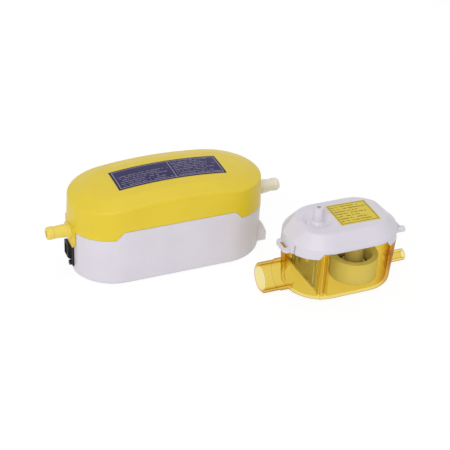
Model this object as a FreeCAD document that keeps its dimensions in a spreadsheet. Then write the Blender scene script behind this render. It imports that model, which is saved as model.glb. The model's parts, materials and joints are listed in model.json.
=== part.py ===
import FreeCAD, Part
import math
import os

import Sketcher
from FreeCAD import Placement, Rotation, Vector

# A mini condensate pump set: a reciprocating pump in a two-part casing and a float reservoir.
# Pump frame: +X along the casing towards the outlet, +Z up, origin at the centre of its base.
# The reservoir is modelled about the centre of its own base and stands at tank_x, tank_y.

SIZES = {
    # Pump casing
    "pump_length": 98.4,
    "pump_width": 45.0,
    "casing_wall": 2.0,
    "casing_draft": 1.17,
    "cover_draft": 2.4,
    "base_edge_round": 2.2,
    "parting_height": 29.6,
    "parting_half_run": 28.2,
    "skirt_dip": 4.0,
    "end_dip": 5.1,
    "skirt_half_run": 31.9,
    "parting_gap": 0.1,
    "casing_lip_rise": 1.4,
    "casing_lip_thickness": 1.2,
    "casing_lip_depth": 5.5,
    "fit_clearance": 0.15,
    "headroom": 6.2,
    "top_arch_radius": 220.0,
    "top_crown_radius": 131.0,
    "shoulder_reach": 8.0,
    "shoulder_drop": 1.45,
    "crease_round": 1.2,
    # Left end facet, tongue and connector window
    "facet_depth": 1.8,
    "tongue_half_width": 6.5,
    "tongue_bottom": 14.3,
    "tongue_corner": 2.6,
    "tongue_thickness": 1.2,
    # Mounting lug low on the right end
    "lug_proud": 0.7,
    "lug_bottom": 3.1,
    "lug_knee_height": 8.2,
    "lug_top_height": 13.2,
    "lug_taper": 2.3,
    "lug_near_side": 4.0,
    "lug_width": 8.0,
    # Casing screws
    "screw_x": 34.0,
    "screw_y": 12.5,
    "screw_head_radius": 2.6,
    "screw_head_height": 1.8,
    "screw_shank_radius": 1.45,
    "screw_length": 30.0,
    "screw_recess_radius": 3.0,
    "screw_recess_depth": 3.0,
    "screw_hole_radius": 1.7,
    "boss_radius": 4.0,
    "boss_joint_height": 25.0,
    "drive_radius": 0.9,
    "drive_depth": 0.9,
    # Hose barbs
    "barb_radius": 3.2,
    "barb_tip_radius": 2.7,
    "barb_waist_radius": 2.95,
    "barb_tip_run": 0.9,
    "barb_land": 2.2,
    "barb_length": 9.6,
    "barb_bore_radius": 1.6,
    "inlet_root_radius": 3.3,
    "outlet_root_radius": 3.7,
    "wall_hole_clearance": 0.3,
    "inlet_height": 22.2,
    "inlet_reach": 60.0,
    "collar_radius": 4.3,
    "collar_thickness": 1.4,
    "neck_radius": 2.9,
    "inlet_nipple_radius": 2.5,
    "inlet_nipple_length": 3.0,
    # Reciprocating pump: coil, cylinder and piston on one axis
    "yoke_gap": 1.5,
    "pump_centre_x": 7.0,
    "yoke_half_length": 16.0,
    "yoke_clearance": 0.4,
    "yoke_half_width": 10.0,
    "yoke_plate": 2.0,
    "cylinder_half_length": 23.0,
    "cylinder_radius": 6.0,
    "cylinder_bore_radius": 4.5,
    "running_clearance": 0.05,
    "sleeve_length": 9.0,
    "sleeve_thickness": 1.4,
    "bobbin_bore_radius": 7.5,
    "bobbin_core": 1.0,
    "bobbin_flange_radius": 10.6,
    "bobbin_flange": 1.2,
    "winding_radius": 10.4,
    "ring_radius": 10.0,
    "ring_width": 4.0,
    "rib_thickness": 3.0,
    "rib_half_width": 13.5,
    "rib_window_top": 12.0,
    "piston_half_length": 12.0,
    "piston_bore_radius": 2.0,
    "valve_radius": 2.8,
    "valve_thickness": 1.0,
    "valve_pocket_radius": 3.2,
    "valve_pocket_depth": 3.5,
    "cage_thickness": 1.0,
    "cage_bore_radius": 1.7,
    "plug_length": 4.0,
    "cap_flange": 3.0,
    "cap_nipple_length": 7.0,
    "cap_nipple_radius": 2.5,
    "cap_bore_radius": 1.5,
    "buffer_gap": 6.0,
    "head_flange_radius": 7.0,
    "head_flange": 3.0,
    "head_body_radius": 5.0,
    "head_body_length": 8.0,
    "head_taper_length": 4.0,
    "head_chamber_radius": 3.5,
    "head_chamber_length": 9.0,
    "head_port_length": 2.0,
    "valve_stem_radius": 0.8,
    "valve_stem_length": 3.3,
    "piston_spring_wire": 0.7,
    "piston_spring_radius": 3.7,
    "piston_spring_turns": 4.0,
    "valve_spring_wire": 0.4,
    "valve_spring_radius": 2.2,
    "valve_spring_turns": 4.0,
    "hose_wall": 1.5,
    "hose_lead": 1.5,
    "cutout_length": 9.0,
    "cutout_width": 5.0,
    "cutout_height": 2.2,
    # Circuit board and connectors
    "board_left": 43.0,
    "board_right": 41.0,
    "board_half_width": 8.2,
    "board_underside": 3.0,
    "board_thickness": 1.6,
    "standoff_radius": 2.2,
    "standoff_x": 38.0,
    "board_screw_radius": 0.9,
    "board_screw_head_radius": 1.8,
    "board_screw_head_height": 1.2,
    "socket_top": 13.8,
    "socket_back": 41.0,
    "socket_shell": 0.8,
    "socket_recess_depth": 6.5,
    "power_socket_front": 49.8,
    "power_socket_near": 0.3,
    "power_socket_far": 5.5,
    "power_socket_bottom": 5.0,
    "power_socket_corner": 1.2,
    "sensor_socket_front": 48.3,
    "sensor_socket_near": 2.8,
    "sensor_socket_bottom": 2.8,
    "sensor_socket_corner": 0.4,
    "latch_lug_proud": 1.2,
    "latch_lug_height": 2.2,
    "contact_thickness": 0.6,
    "contact_short": 1.2,
    "window_clearance": 0.3,
    "capacitor_radius": 4.0,
    "capacitor_height": 10.5,
    "capacitor_x": 32.0,
    "relay_x": 3.0,
    "relay_length": 15.0,
    "relay_width": 7.5,
    "relay_height": 8.0,
    "filter_capacitor_x": 17.0,
    "filter_capacitor_length": 11.0,
    "filter_capacitor_width": 5.0,
    "filter_capacitor_height": 7.5,
    "fuse_x": -18.5,
    "fuse_radius": 2.5,
    "fuse_length": 14.0,
    "fuse_cap_length": 3.0,
    "chip_x": -31.0,
    "chip_length": 9.0,
    "chip_width": 6.4,
    "chip_height": 3.2,
    # Rating label on the cover
    "rating_left": 26.3,
    "rating_right": 28.4,
    "rating_half_width": 8.5,
    "label_thickness": 0.15,
    # Reservoir tank
    "tank_x": 71.0,
    "tank_y": -48.7,
    "tank_length": 57.7,
    "tank_width": 38.3,
    "tank_draft": 3.75,
    "tank_wall": 1.6,
    "tank_cavity_draft": 2.2,
    "tank_edge_round": 2.0,
    "tank_parting_height": 27.0,
    "tank_parting_half_run": 16.5,
    "tank_skirt_dip": 3.0,
    "tank_skirt_half_run": 18.5,
    "tank_end_dip": 4.1,
    "lid_rest_gap": 0.05,
    "tank_lip_depth": 1.9,
    "tank_lip_thickness": 1.25,
    "spigot_radius": 7.5,
    "spigot_bore_radius": 6.3,
    "spigot_height": 8.0,
    "spigot_reach": 40.5,
    "spigot_root_radius": 7.9,
    "spigot_root_reach": 31.0,
    "spigot_lip_chamfer": 0.7,
    "nipple_radius": 2.9,
    "nipple_bore_radius": 1.7,
    "nipple_height": 5.5,
    "nipple_y": -1.0,
    "nipple_reach": 36.5,
    "nipple_root_radius": 3.3,
    "nipple_root_reach": 29.0,
    "guide_rib_x": -15.4,
    "guide_rib_thickness": 1.2,
    "guide_groove": 1.8,
    "guide_rib_inner": 13.0,
    "guide_rib_drop": 3.0,
    "catch_half_width": 2.4,
    "catch_thickness": 1.2,
    "catch_drop": 0.4,
    "catch_rise": 5.4,
    # Reservoir lid
    "lid_clearance": 0.3,
    "lid_wall": 1.2,
    "lid_band_rise": 1.9,
    "lid_band_draft": 2.8,
    "lid_shoulder_draft": 40.0,
    "lid_crown_rise": 6.7,
    "lid_arch_radius": 400.0,
    "lid_crown_radius": 250.0,
    "lid_band_round": 2.0,
    "lid_rim_round": 1.2,
    "lid_roof": 3.8,
    "lid_facet_low_x": 28.0,
    "lid_facet_high_x": 22.2,
    "lid_facet_drop": 1.2,
    "dish_x": -12.3,
    "dish_depth": 2.2,
    "dish_floor_radius": 5.0,
    "dish_rim_radius": 8.1,
    "vent_x": -12.0,
    "vent_y": 0.3,
    "vent_rise": 6.5,
    "vent_top_radius": 2.35,
    "vent_foot_radius": 3.6,
    "vent_foot_height": 1.4,
    "vent_bore_radius": 1.1,
    "ledge_reach": 31.4,
    "ledge_thickness": 1.6,
    "slot_inset": 1.5,
    "ledge_half_width": 5.5,
    "ledge_corner_round": 2.5,
    "slit_y": 7.4,
    "slit_width": 0.9,
    "slit_drop": 0.7,
    "gland_radius": 1.5,
    "gland_bore_radius": 0.8,
    "gland_y": -8.0,
    "gland_drop": 2.7,
    "gland_reach": 30.7,
    "seal_thickness": 0.8,
    "seal_inset": 0.15,
    "lid_label_left": -4.2,
    "lid_label_right": 16.8,
    "lid_label_half_width": 8.9,
    # Float, level sensor and filter
    "float_x": 8.5,
    "float_y": -1.6,
    "float_radius": 11.75,
    "float_hole_radius": 8.9,
    "float_height": 11.3,
    "float_web": 1.6,
    "float_hub_radius": 6.0,
    "float_hub_height": 6.0,
    "float_guide_clearance": 0.4,
    "magnet_thickness": 3.0,
    "magnet_radius": 8.0,
    "sensor_tube_radius": 4.3,
    "sensor_tube_wall": 1.0,
    "sensor_tube_bottom": 3.2,
    "sensor_boss_wall": 1.0,
    "sensor_boss_depth": 3.5,
    "reed_board_width": 3.6,
    "reed_board_thickness": 1.0,
    "reed_radius": 1.1,
    "reed_length": 9.0,
    "basket_left": -24.0,
    "basket_right": -16.9,
    "basket_left_half_width": 5.4,
    "basket_right_half_width": 13.6,
    "basket_drop": 4.0,
    "basket_low_left": 12.4,
    "basket_low_right": 3.4,
    "basket_wall": 0.8,
    "basket_rim": 1.0,
    "mesh_thickness": 0.25,
}


class Size:
    """A dimension: its present value and the formula that ties it to the size sheet."""

    def __init__(self, value, formula):
        self.value = value
        self.formula = formula

    def __add__(self, other):
        other = as_size(other)
        return Size(self.value + other.value, "(%s + %s)" % (self.formula, other.formula))

    def __radd__(self, other):
        return as_size(other) + self

    def __sub__(self, other):
        other = as_size(other)
        return Size(self.value - other.value, "(%s - %s)" % (self.formula, other.formula))

    def __rsub__(self, other):
        return as_size(other) - self

    def __mul__(self, other):
        other = as_size(other)
        return Size(self.value * other.value, "(%s * %s)" % (self.formula, other.formula))

    def __rmul__(self, other):
        return as_size(other) * self

    def __truediv__(self, other):
        other = as_size(other)
        return Size(self.value / other.value, "(%s / %s)" % (self.formula, other.formula))

    def __neg__(self):
        return Size(-self.value, "(0 - %s)" % self.formula)


def as_size(number):
    return number if isinstance(number, Size) else Size(float(number), "(%s)" % float(number))


def square_root(size):
    return Size(math.sqrt(size.value), "sqrt(%s)" % size.formula)


def slope(angle):
    """Sideways run per unit of height of a wall with this draft angle."""
    return Size(math.tan(math.radians(angle.value)), "tan(%s * 1 deg)" % angle.formula)


class SizeSheet:
    """The document's spreadsheet, read by the names of its cells."""

    def __init__(self, document, sizes):
        sheet = document.addObject("Spreadsheet::Sheet", "Sizes")
        for row, (name, value) in enumerate(sizes.items(), start=1):
            sheet.set("A%d" % row, name)
            sheet.set("B%d" % row, str(value))
            sheet.setAlias("B%d" % row, name)
        self.values = dict(sizes)

    def __getattr__(self, name):
        return Size(float(self.values[name]), "Sizes.%s" % name)


DOCUMENT = FreeCAD.newDocument("CondensatePump")
S = SizeSheet(DOCUMENT, SIZES)
DOCUMENT.recompute()
NODES = []


class Outline:
    """A sketch on one of a piece's origin planes; every point in it is tied to the sheet."""

    def __init__(self, piece, plane, height=0, right=0, up=0):
        self.sketch = piece.body.newObject("Sketcher::SketchObject", "Outline")
        origin = [f for f in piece.body.Origin.OriginFeatures if f.Role == plane][0]
        self.sketch.AttachmentSupport = [(origin, "")]
        self.sketch.MapMode = "FlatFace"
        # The XZ plane faces -Y, so a height along +Y is a negative offset there.
        lift = -as_size(height) if plane == "XZ_Plane" else as_size(height)
        for axis, size in (("x", as_size(right)), ("y", as_size(up)), ("z", lift)):
            self.sketch.setExpression("AttachmentOffset.Base.%s" % axis, size.formula)

    def pin(self, geometry, vertex, x, y):
        """Hold one point of the sketch at x, y from the sketch's origin."""
        for kind, size, axis in (("DistanceX", as_size(x), -2), ("DistanceY", as_size(y), -1)):
            if abs(size.value) < 1e-9:
                self.sketch.addConstraint(Sketcher.Constraint("PointOnObject", geometry, vertex, axis))
                continue
            ends = (-1, 1, geometry, vertex) if size.value > 0 else (geometry, vertex, -1, 1)
            reach = size if size.value > 0 else -size
            constraint = Sketcher.Constraint(kind, *ends, reach.value)
            index = self.sketch.addConstraint(constraint)
            self.sketch.setExpression("Constraints[%d]" % index, reach.formula)

    def circle(self, radius, x=0, y=0):
        x, y, radius = as_size(x), as_size(y), as_size(radius)
        centre = Vector(x.value, y.value, 0)
        index = self.sketch.addGeometry(Part.Circle(centre, Vector(0, 0, 1), radius.value))
        bound = self.sketch.addConstraint(Sketcher.Constraint("Radius", index, radius.value))
        self.sketch.setExpression("Constraints[%d]" % bound, radius.formula)
        self.pin(index, 3, x, y)
        return self

    def join(self, first, count):
        for step in range(count):
            ends = (first + step, 2, first + (step + 1) % count, 1)
            self.sketch.addConstraint(Sketcher.Constraint("Coincident", *ends))

    def polygon(self, corners):
        first = self.sketch.GeometryCount
        points = [Vector(as_size(x).value, as_size(y).value, 0) for x, y in corners]
        for start, end in zip(points, points[1:] + points[:1]):
            self.sketch.addGeometry(Part.LineSegment(start, end))
        self.join(first, len(corners))
        for step, (x, y) in enumerate(corners):
            self.pin(first + step, 1, x, y)
        return self

    def rectangle(self, x_low, x_high, y_low, y_high):
        return self.polygon([(x_low, y_low), (x_high, y_low), (x_high, y_high), (x_low, y_high)])

    def stadium(self, half_run, radius):
        """Two straight sides of twice half_run, closed by full round ends."""
        first = self.sketch.GeometryCount
        run, round_end, up = half_run.value, as_size(radius).value, Vector(0, 0, 1)
        quarter = math.pi / 2
        right = Part.Circle(Vector(run, 0, 0), up, round_end)
        left = Part.Circle(Vector(-run, 0, 0), up, round_end)
        self.sketch.addGeometry(Part.LineSegment(Vector(-run, -round_end, 0), Vector(run, -round_end, 0)))
        self.sketch.addGeometry(Part.ArcOfCircle(right, -quarter, quarter))
        self.sketch.addGeometry(Part.LineSegment(Vector(run, round_end, 0), Vector(-run, round_end, 0)))
        self.sketch.addGeometry(Part.ArcOfCircle(left, quarter, 3 * quarter))
        for step in range(4):
            ends = (first + step, 2, first + (step + 1) % 4, 1)
            self.sketch.addConstraint(Sketcher.Constraint("Tangent", *ends))
        self.sketch.addConstraint(Sketcher.Constraint("Equal", first + 1, first + 3))
        for end, reach in ((first + 1, half_run), (first + 3, -half_run)):
            self.pin(end, 3, reach, 0)
        bound = self.sketch.addConstraint(Sketcher.Constraint("Radius", first + 1, round_end))
        self.sketch.setExpression("Constraints[%d]" % bound, as_size(radius).formula)
        return self

    def arch(self, half_span, crest, radius, top):
        """The region above a shallow arch whose crest is at (0, crest)."""
        first = self.sketch.GeometryCount
        turn = math.asin(half_span.value / radius.value)
        centre = crest - radius
        foot = crest.value - radius.value * (1 - math.cos(turn))
        quarter = math.pi / 2
        circle = Part.Circle(Vector(0, centre.value, 0), Vector(0, 0, 1), radius.value)
        span, roof = half_span.value, top.value
        self.sketch.addGeometry(Part.ArcOfCircle(circle, quarter - turn, quarter + turn))
        self.sketch.addGeometry(Part.LineSegment(Vector(-span, foot, 0), Vector(-span, roof, 0)))
        self.sketch.addGeometry(Part.LineSegment(Vector(-span, roof, 0), Vector(span, roof, 0)))
        self.sketch.addGeometry(Part.LineSegment(Vector(span, roof, 0), Vector(span, foot, 0)))
        self.join(first, 4)
        self.pin(first, 3, 0, centre)
        self.pin(first + 2, 1, -half_span, top)
        self.pin(first + 2, 2, half_span, top)
        for side in (first + 1, first + 3):
            self.sketch.addConstraint(Sketcher.Constraint("Vertical", side))
        bound = self.sketch.addConstraint(Sketcher.Constraint("Radius", first, radius.value))
        self.sketch.setExpression("Constraints[%d]" % bound, radius.formula)
        return self


class Piece:
    """One sub-part: a body whose features are added in the order they are made.

    A piece that is only a cutting tool isn't kept, and lies in the frame of the piece it cuts.
    """

    def __init__(self, label, in_tank=False, kept=True):
        self.body = DOCUMENT.addObject("PartDesign::Body", label)
        self.body.Label = label
        if in_tank and kept:
            self.body.setExpression("Placement.Base.x", S.tank_x.formula)
            self.body.setExpression("Placement.Base.y", S.tank_y.formula)
        if kept:
            NODES.append(self.body)

    def volume(self):
        DOCUMENT.recompute()
        return self.body.Tip.Shape.Volume if self.body.Tip else 0.0

    def feature(self, kind, outline, grows):
        before = self.volume()
        feature = self.body.newObject("PartDesign::%s" % kind, kind)
        feature.Profile = outline.sketch
        return feature, before, grows

    def settle(self, made):
        """Check that the feature did add or remove material."""
        feature, before, grows = made
        change = self.volume() - before
        if (change <= 0) if grows else (change >= 0):
            raise ValueError("%s in %s changed the volume by %.4f" % (feature.Name, self.body.Label, change))
        return self

    def pad(self, outline, length, draft=None, down=False):
        made = self.feature("Pad", outline, grows=True)
        made[0].setExpression("Length", as_size(length).formula)
        made[0].Reversed = down
        if draft is not None:
            made[0].setExpression("TaperAngle", draft.formula)
        return self.settle(made)

    def pocket(self, outline, length=None, draft=None, up=False):
        """Cut from the outline's plane; with no length, right through both ways."""
        made = self.feature("Pocket", outline, grows=False)
        if length is None:
            made[0].Type = "ThroughAll"
            made[0].SideType = "Symmetric"
        else:
            made[0].setExpression("Length", as_size(length).formula)
            made[0].Reversed = up
        if draft is not None:
            made[0].setExpression("TaperAngle", draft.formula)
        return self.settle(made)

    def revolve(self, outline, axis="H_Axis"):
        made = self.feature("Revolution", outline, grows=True)
        made[0].ReferenceAxis = (outline.sketch, [axis])
        made[0].Angle = 360.0
        return self.settle(made)

    def groove(self, outline, axis="H_Axis", angle=360.0):
        made = self.feature("Groove", outline, grows=False)
        made[0].ReferenceAxis = (outline.sketch, [axis])
        made[0].Midplane = angle < 360.0
        made[0].Angle = angle
        return self.settle(made)

    def edges(self, wanted):
        """Names of the edges of the present shape that a test on their bounding box keeps."""
        DOCUMENT.recompute()
        listed = enumerate(self.body.Tip.Shape.Edges, start=1)
        return ["Edge%d" % index for index, edge in listed if wanted(edge)]

    def fillet(self, radius, wanted):
        names = self.edges(wanted)
        base = self.body.Tip
        feature = self.body.newObject("PartDesign::Fillet", "Fillet")
        feature.Base = (base, names)
        feature.setExpression("Radius", as_size(radius).formula)
        DOCUMENT.recompute()
        return self

    def chamfer(self, size, wanted, second=None, flip=False):
        names = self.edges(wanted)
        base = self.body.Tip
        feature = self.body.newObject("PartDesign::Chamfer", "Chamfer")
        feature.Base = (base, names)
        feature.setExpression("Size", as_size(size).formula)
        if second is not None:
            feature.ChamferType = "Two distances"
            feature.setExpression("Size2", second.formula)
            feature.FlipDirection = flip
        DOCUMENT.recompute()
        return self

    def subtract(self, tool):
        """Take another body's shape away from this one."""
        boolean = self.body.newObject("PartDesign::Boolean", "Cut")
        boolean.setObjects([tool.body])
        boolean.Type = "Cut"
        DOCUMENT.recompute()
        return self


def turned(label, profiles, along_x=0, height=0, across=0, in_tank=False):
    """A piece turned about an axis along X; each profile is a list of (x, radius) corners."""
    piece = Piece(label, in_tank=in_tank)
    for corners in profiles:
        outline = Outline(piece, "XZ_Plane", height=across, right=along_x, up=height)
        piece.revolve(outline.polygon(corners))
    return piece


def upright(label, profiles, x=0, y=0, in_tank=False):
    """A piece turned about a vertical axis; each profile is a list of (radius, z) corners."""
    piece = Piece(label, in_tank=in_tank)
    for corners in profiles:
        outline = Outline(piece, "XZ_Plane", height=y, right=x)
        piece.revolve(outline.polygon(corners), axis="V_Axis")
    return piece


def box(label, x_low, x_high, y_low, y_high, z_low, z_high, in_tank=False):
    piece = Piece(label, in_tank=in_tank)
    outline = Outline(piece, "XY_Plane", height=z_low).rectangle(x_low, x_high, y_low, y_high)
    return piece.pad(outline, z_high - z_low)


def edge_box(edge):
    """Lowest and highest corner of an edge, as six numbers."""
    reach = edge.BoundBox
    return reach.XMin, reach.XMax, reach.YMin, reach.YMax, reach.ZMin, reach.ZMax


# Sizes that several pieces share
CASING_HALF_RUN = (S.pump_length - S.pump_width) / 2
CASING_RADIUS = S.pump_width / 2
CAVITY_RADIUS = CASING_RADIUS - S.casing_wall
FACET_X = S.facet_depth - S.pump_length / 2
WALL_INSIDE_X = FACET_X + S.casing_wall
TONGUE_FACE_X = FACET_X - S.tongue_thickness
TANK_HALF_RUN = (S.tank_length - S.tank_width) / 2
TANK_RADIUS = S.tank_width / 2
LID_CAVITY_RADIUS = TANK_RADIUS - S.lid_wall
TANK_LIP_RADIUS = LID_CAVITY_RADIUS - S.lid_clearance
BOARD_TOP = S.board_underside + S.board_thickness
YOKE_HALF_HEIGHT = S.bobbin_flange_radius + S.yoke_plate + S.yoke_clearance
AXIS_HEIGHT = BOARD_TOP + S.relay_height + S.yoke_gap + YOKE_HALF_HEIGHT
TOP_HEIGHT = AXIS_HEIGHT + YOKE_HALF_HEIGHT + S.headroom
SKIRT_HEIGHT = S.parting_height - S.skirt_dip
END_HEIGHT = S.parting_height - S.end_dip
TANK_SKIRT_HEIGHT = S.tank_parting_height - S.tank_skirt_dip
TANK_END_HEIGHT = S.tank_parting_height - S.tank_end_dip
LID_SKIRT_HEIGHT = TANK_END_HEIGHT + S.lid_clearance
LEDGE_TOP = LID_SKIRT_HEIGHT + S.ledge_thickness
SLOT_OUTER_X = S.ledge_reach - S.slot_inset
BAND_HEIGHT = S.tank_parting_height + S.lid_band_rise
LID_TOP_HEIGHT = BAND_HEIGHT + S.lid_crown_rise
LID_CAVITY_TOP = LID_TOP_HEIGHT - S.lid_roof
DISH_FLOOR_HEIGHT = LID_TOP_HEIGHT - S.dish_depth
VENT_TOP = LID_TOP_HEIGHT + S.vent_rise
GLAND_HEIGHT = BAND_HEIGHT - S.gland_drop
BASKET_TOP = S.tank_parting_height - S.basket_drop
SCREW_SPOTS = [(x, y) for x in (-S.screw_x, S.screw_x) for y in (-S.screw_y, S.screw_y)]


def casing_parting(gap):
    """Corners of the region above the casing's joint line, raised by a gap."""
    reach, roof = S.pump_length, TOP_HEIGHT * 2
    return [
        (-reach, END_HEIGHT + gap),
        (-S.pump_length / 2, END_HEIGHT + gap),
        (-S.skirt_half_run, SKIRT_HEIGHT + gap),
        (-S.parting_half_run, S.parting_height + gap),
        (S.parting_half_run, S.parting_height + gap),
        (S.skirt_half_run, SKIRT_HEIGHT + gap),
        (S.pump_length / 2, END_HEIGHT + gap),
        (reach, END_HEIGHT + gap),
        (reach, roof),
        (-reach, roof),
    ]


def casing_below_parting():
    """Corners of the region below the casing's joint line."""
    above = casing_parting(0)[:8]
    return above + [(S.pump_length, -TOP_HEIGHT), (-S.pump_length, -TOP_HEIGHT)]


def crown(piece, height, arch_radius, crown_radius, half_span):
    """Cut the top to a double curve: an arch along X that is also crowned across Y."""
    axis_height = height - crown_radius
    outline = Outline(piece, "XZ_Plane", up=axis_height)
    outline.arch(half_span, crown_radius, arch_radius, crown_radius + height / 2)
    return piece.groove(outline, angle=60.0)


def base_casing():
    piece = Piece("base_casing")
    run = slope(S.casing_draft)
    foot_radius = CASING_RADIUS - run * END_HEIGHT
    outline = Outline(piece, "XY_Plane").stadium(CASING_HALF_RUN, foot_radius)
    piece.pad(outline, END_HEIGHT, draft=S.casing_draft)
    outline = Outline(piece, "XY_Plane", height=END_HEIGHT).stadium(CASING_HALF_RUN, CASING_RADIUS)
    piece.pad(outline, S.parting_height - END_HEIGHT + S.casing_wall, draft=-S.casing_draft)
    piece.fillet(S.base_edge_round, lambda edge: edge.BoundBox.ZMax < 1e-3)
    lug = Outline(piece, "XZ_Plane", height=-S.lug_near_side - S.lug_width)
    tip = S.pump_length / 2 + S.lug_proud
    root = tip - S.lug_width / 2 - S.lug_taper
    lug.polygon([
        (root, S.lug_bottom),
        (tip, S.lug_bottom),
        (tip, S.lug_knee_height),
        (tip - S.lug_taper, S.lug_top_height),
        (root, S.lug_top_height),
    ])
    piece.pad(lug, S.lug_width, down=True)
    piece.pocket(Outline(piece, "XZ_Plane").polygon(casing_parting(0)))
    cavity = Outline(piece, "XY_Plane", height=S.parting_height + S.casing_wall)
    cavity.stadium(CASING_HALF_RUN, CAVITY_RADIUS)
    piece.pocket(cavity, S.parting_height)
    add_casing_lip(piece)
    add_facet(piece)
    add_casing_bosses(piece)
    add_cradle_ribs(piece)
    add_board_standoffs(piece)
    cut_fitting_holes(piece)
    return piece


def add_casing_lip(piece):
    """A thin wall inside the joint that locates the cover; it follows the joint line."""
    root = END_HEIGHT - S.casing_lip_depth
    ring = Outline(piece, "XY_Plane", height=root)
    ring.stadium(CASING_HALF_RUN, CAVITY_RADIUS)
    ring.stadium(CASING_HALF_RUN, CAVITY_RADIUS - S.casing_lip_thickness)
    piece.pad(ring, S.parting_height + S.casing_lip_rise * 2 - root)
    piece.pocket(Outline(piece, "XZ_Plane").polygon(casing_parting(S.casing_lip_rise)))


def add_facet(piece):
    """Flat left end with the window for the two connectors."""
    foot_radius = CASING_RADIUS - slope(S.casing_draft) * END_HEIGHT
    chord = CASING_RADIUS - S.facet_depth
    half_width = square_root(foot_radius * foot_radius - chord * chord)
    inner = Outline(piece, "XY_Plane", height=S.casing_wall)
    inner.rectangle(FACET_X - S.tongue_thickness, WALL_INSIDE_X, -half_width, half_width)
    piece.pad(inner, END_HEIGHT - S.parting_gap - S.casing_wall)
    outer = Outline(piece, "YZ_Plane", height=FACET_X)
    outer.rectangle(-S.pump_width, S.pump_width, -TOP_HEIGHT, TOP_HEIGHT)
    piece.pocket(outer, S.pump_length)
    for y_low, y_high, bottom in (
        (-S.sensor_socket_near, S.power_socket_near, S.sensor_socket_bottom),
        (S.power_socket_near, S.power_socket_far, S.power_socket_bottom),
    ):
        window = Outline(piece, "YZ_Plane", height=FACET_X - S.tongue_thickness)
        window.rectangle(
            y_low - S.window_clearance,
            y_high + S.window_clearance,
            bottom - S.window_clearance,
            S.socket_top + S.window_clearance,
        )
        piece.pocket(window, S.casing_wall + S.tongue_thickness * 2, up=True)


def add_casing_bosses(piece):
    """Screw bosses on the floor, recessed from below for the screw heads."""
    for x, y in SCREW_SPOTS:
        piece.pad(Outline(piece, "XY_Plane", height=S.casing_wall / 2).circle(S.boss_radius, x, y),
                  S.boss_joint_height - S.casing_wall / 2)
        piece.pocket(Outline(piece, "XY_Plane").circle(S.screw_hole_radius, x, y),
                     S.boss_joint_height, up=True)
        piece.pocket(Outline(piece, "XY_Plane").circle(S.screw_recess_radius, x, y),
                     S.screw_recess_depth, up=True)


def rib_offsets():
    """Left face of each of the two ribs that hold the pump's rubber rings."""
    middle = S.yoke_half_length + S.ring_width / 2
    return [S.pump_centre_x + side * middle - S.rib_thickness / 2 for side in (-1, 1)]


def add_cradle_ribs(piece):
    """Two cross ribs with a round seat for the rubber rings and a gateway for the board."""
    for left in rib_offsets():
        rib = Outline(piece, "YZ_Plane", height=left)
        rib.rectangle(-S.rib_half_width, S.rib_half_width, S.casing_wall / 2, AXIS_HEIGHT)
        piece.pad(rib, S.rib_thickness)
        seat = Outline(piece, "YZ_Plane", height=left)
        piece.pocket(seat.circle(S.ring_radius, 0, AXIS_HEIGHT), S.rib_thickness, up=True)
        gate = Outline(piece, "YZ_Plane", height=left)
        half_width = S.board_half_width + S.window_clearance
        piece.pocket(gate.rectangle(-half_width, half_width, S.casing_wall, S.rib_window_top),
                     S.rib_thickness, up=True)


def add_board_standoffs(piece):
    for x in (-S.standoff_x, S.standoff_x):
        post = Outline(piece, "XY_Plane", height=S.casing_wall / 2).circle(S.standoff_radius, x, 0)
        piece.pad(post, S.board_underside - S.casing_wall / 2)
        hole = Outline(piece, "XY_Plane", height=S.board_underside).circle(S.board_screw_radius, x, 0)
        piece.pocket(hole, S.board_underside - S.casing_wall / 2)


def cut_fitting_holes(piece):
    """Round passages for the inlet fitting on the left and the outlet nozzle on the right."""
    inlet = Outline(piece, "YZ_Plane", height=-S.pump_length)
    inlet.circle(S.neck_radius, 0, S.inlet_height)
    piece.pocket(inlet, S.pump_length * 0.7, up=True)
    outlet = Outline(piece, "YZ_Plane", height=S.pump_length)
    outlet.circle(S.outlet_root_radius + S.wall_hole_clearance, 0, AXIS_HEIGHT)
    piece.pocket(outlet, S.pump_length * 0.7)


def cover_cavity():
    """The hollow inside the cover, left solid where its screw bosses and ring ribs stand.

    Its roof follows the cover's own double curve.
    """
    piece = Piece("cover_cavity", kept=False)
    outline = Outline(piece, "XY_Plane").stadium(CASING_HALF_RUN, CAVITY_RADIUS + S.fit_clearance)
    piece.pad(outline, TOP_HEIGHT)
    crown(piece, TOP_HEIGHT - S.casing_wall, S.top_arch_radius, S.top_crown_radius, S.pump_length * 0.6)
    rim_low = TOP_HEIGHT - S.casing_wall * 4

    def roof_rim(edge):
        x_low, x_high, y_low, y_high, z_low, z_high = edge_box(edge)
        return z_low > rim_low.value and (z_high - z_low > 1e-3 or y_high - y_low < 1e-3)

    piece.chamfer(S.shoulder_reach, roof_rim, second=S.shoulder_drop, flip=True)
    for x, y in SCREW_SPOTS:
        boss = Outline(piece, "XY_Plane", height=S.boss_joint_height).circle(S.boss_radius, x, y)
        piece.pocket(boss, TOP_HEIGHT, up=True)
    for left in rib_offsets():
        rib = Outline(piece, "YZ_Plane", height=left)
        rib.rectangle(-S.rib_half_width, S.rib_half_width, AXIS_HEIGHT, TOP_HEIGHT)
        piece.pocket(rib, S.rib_thickness, up=True)
    return piece


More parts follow.
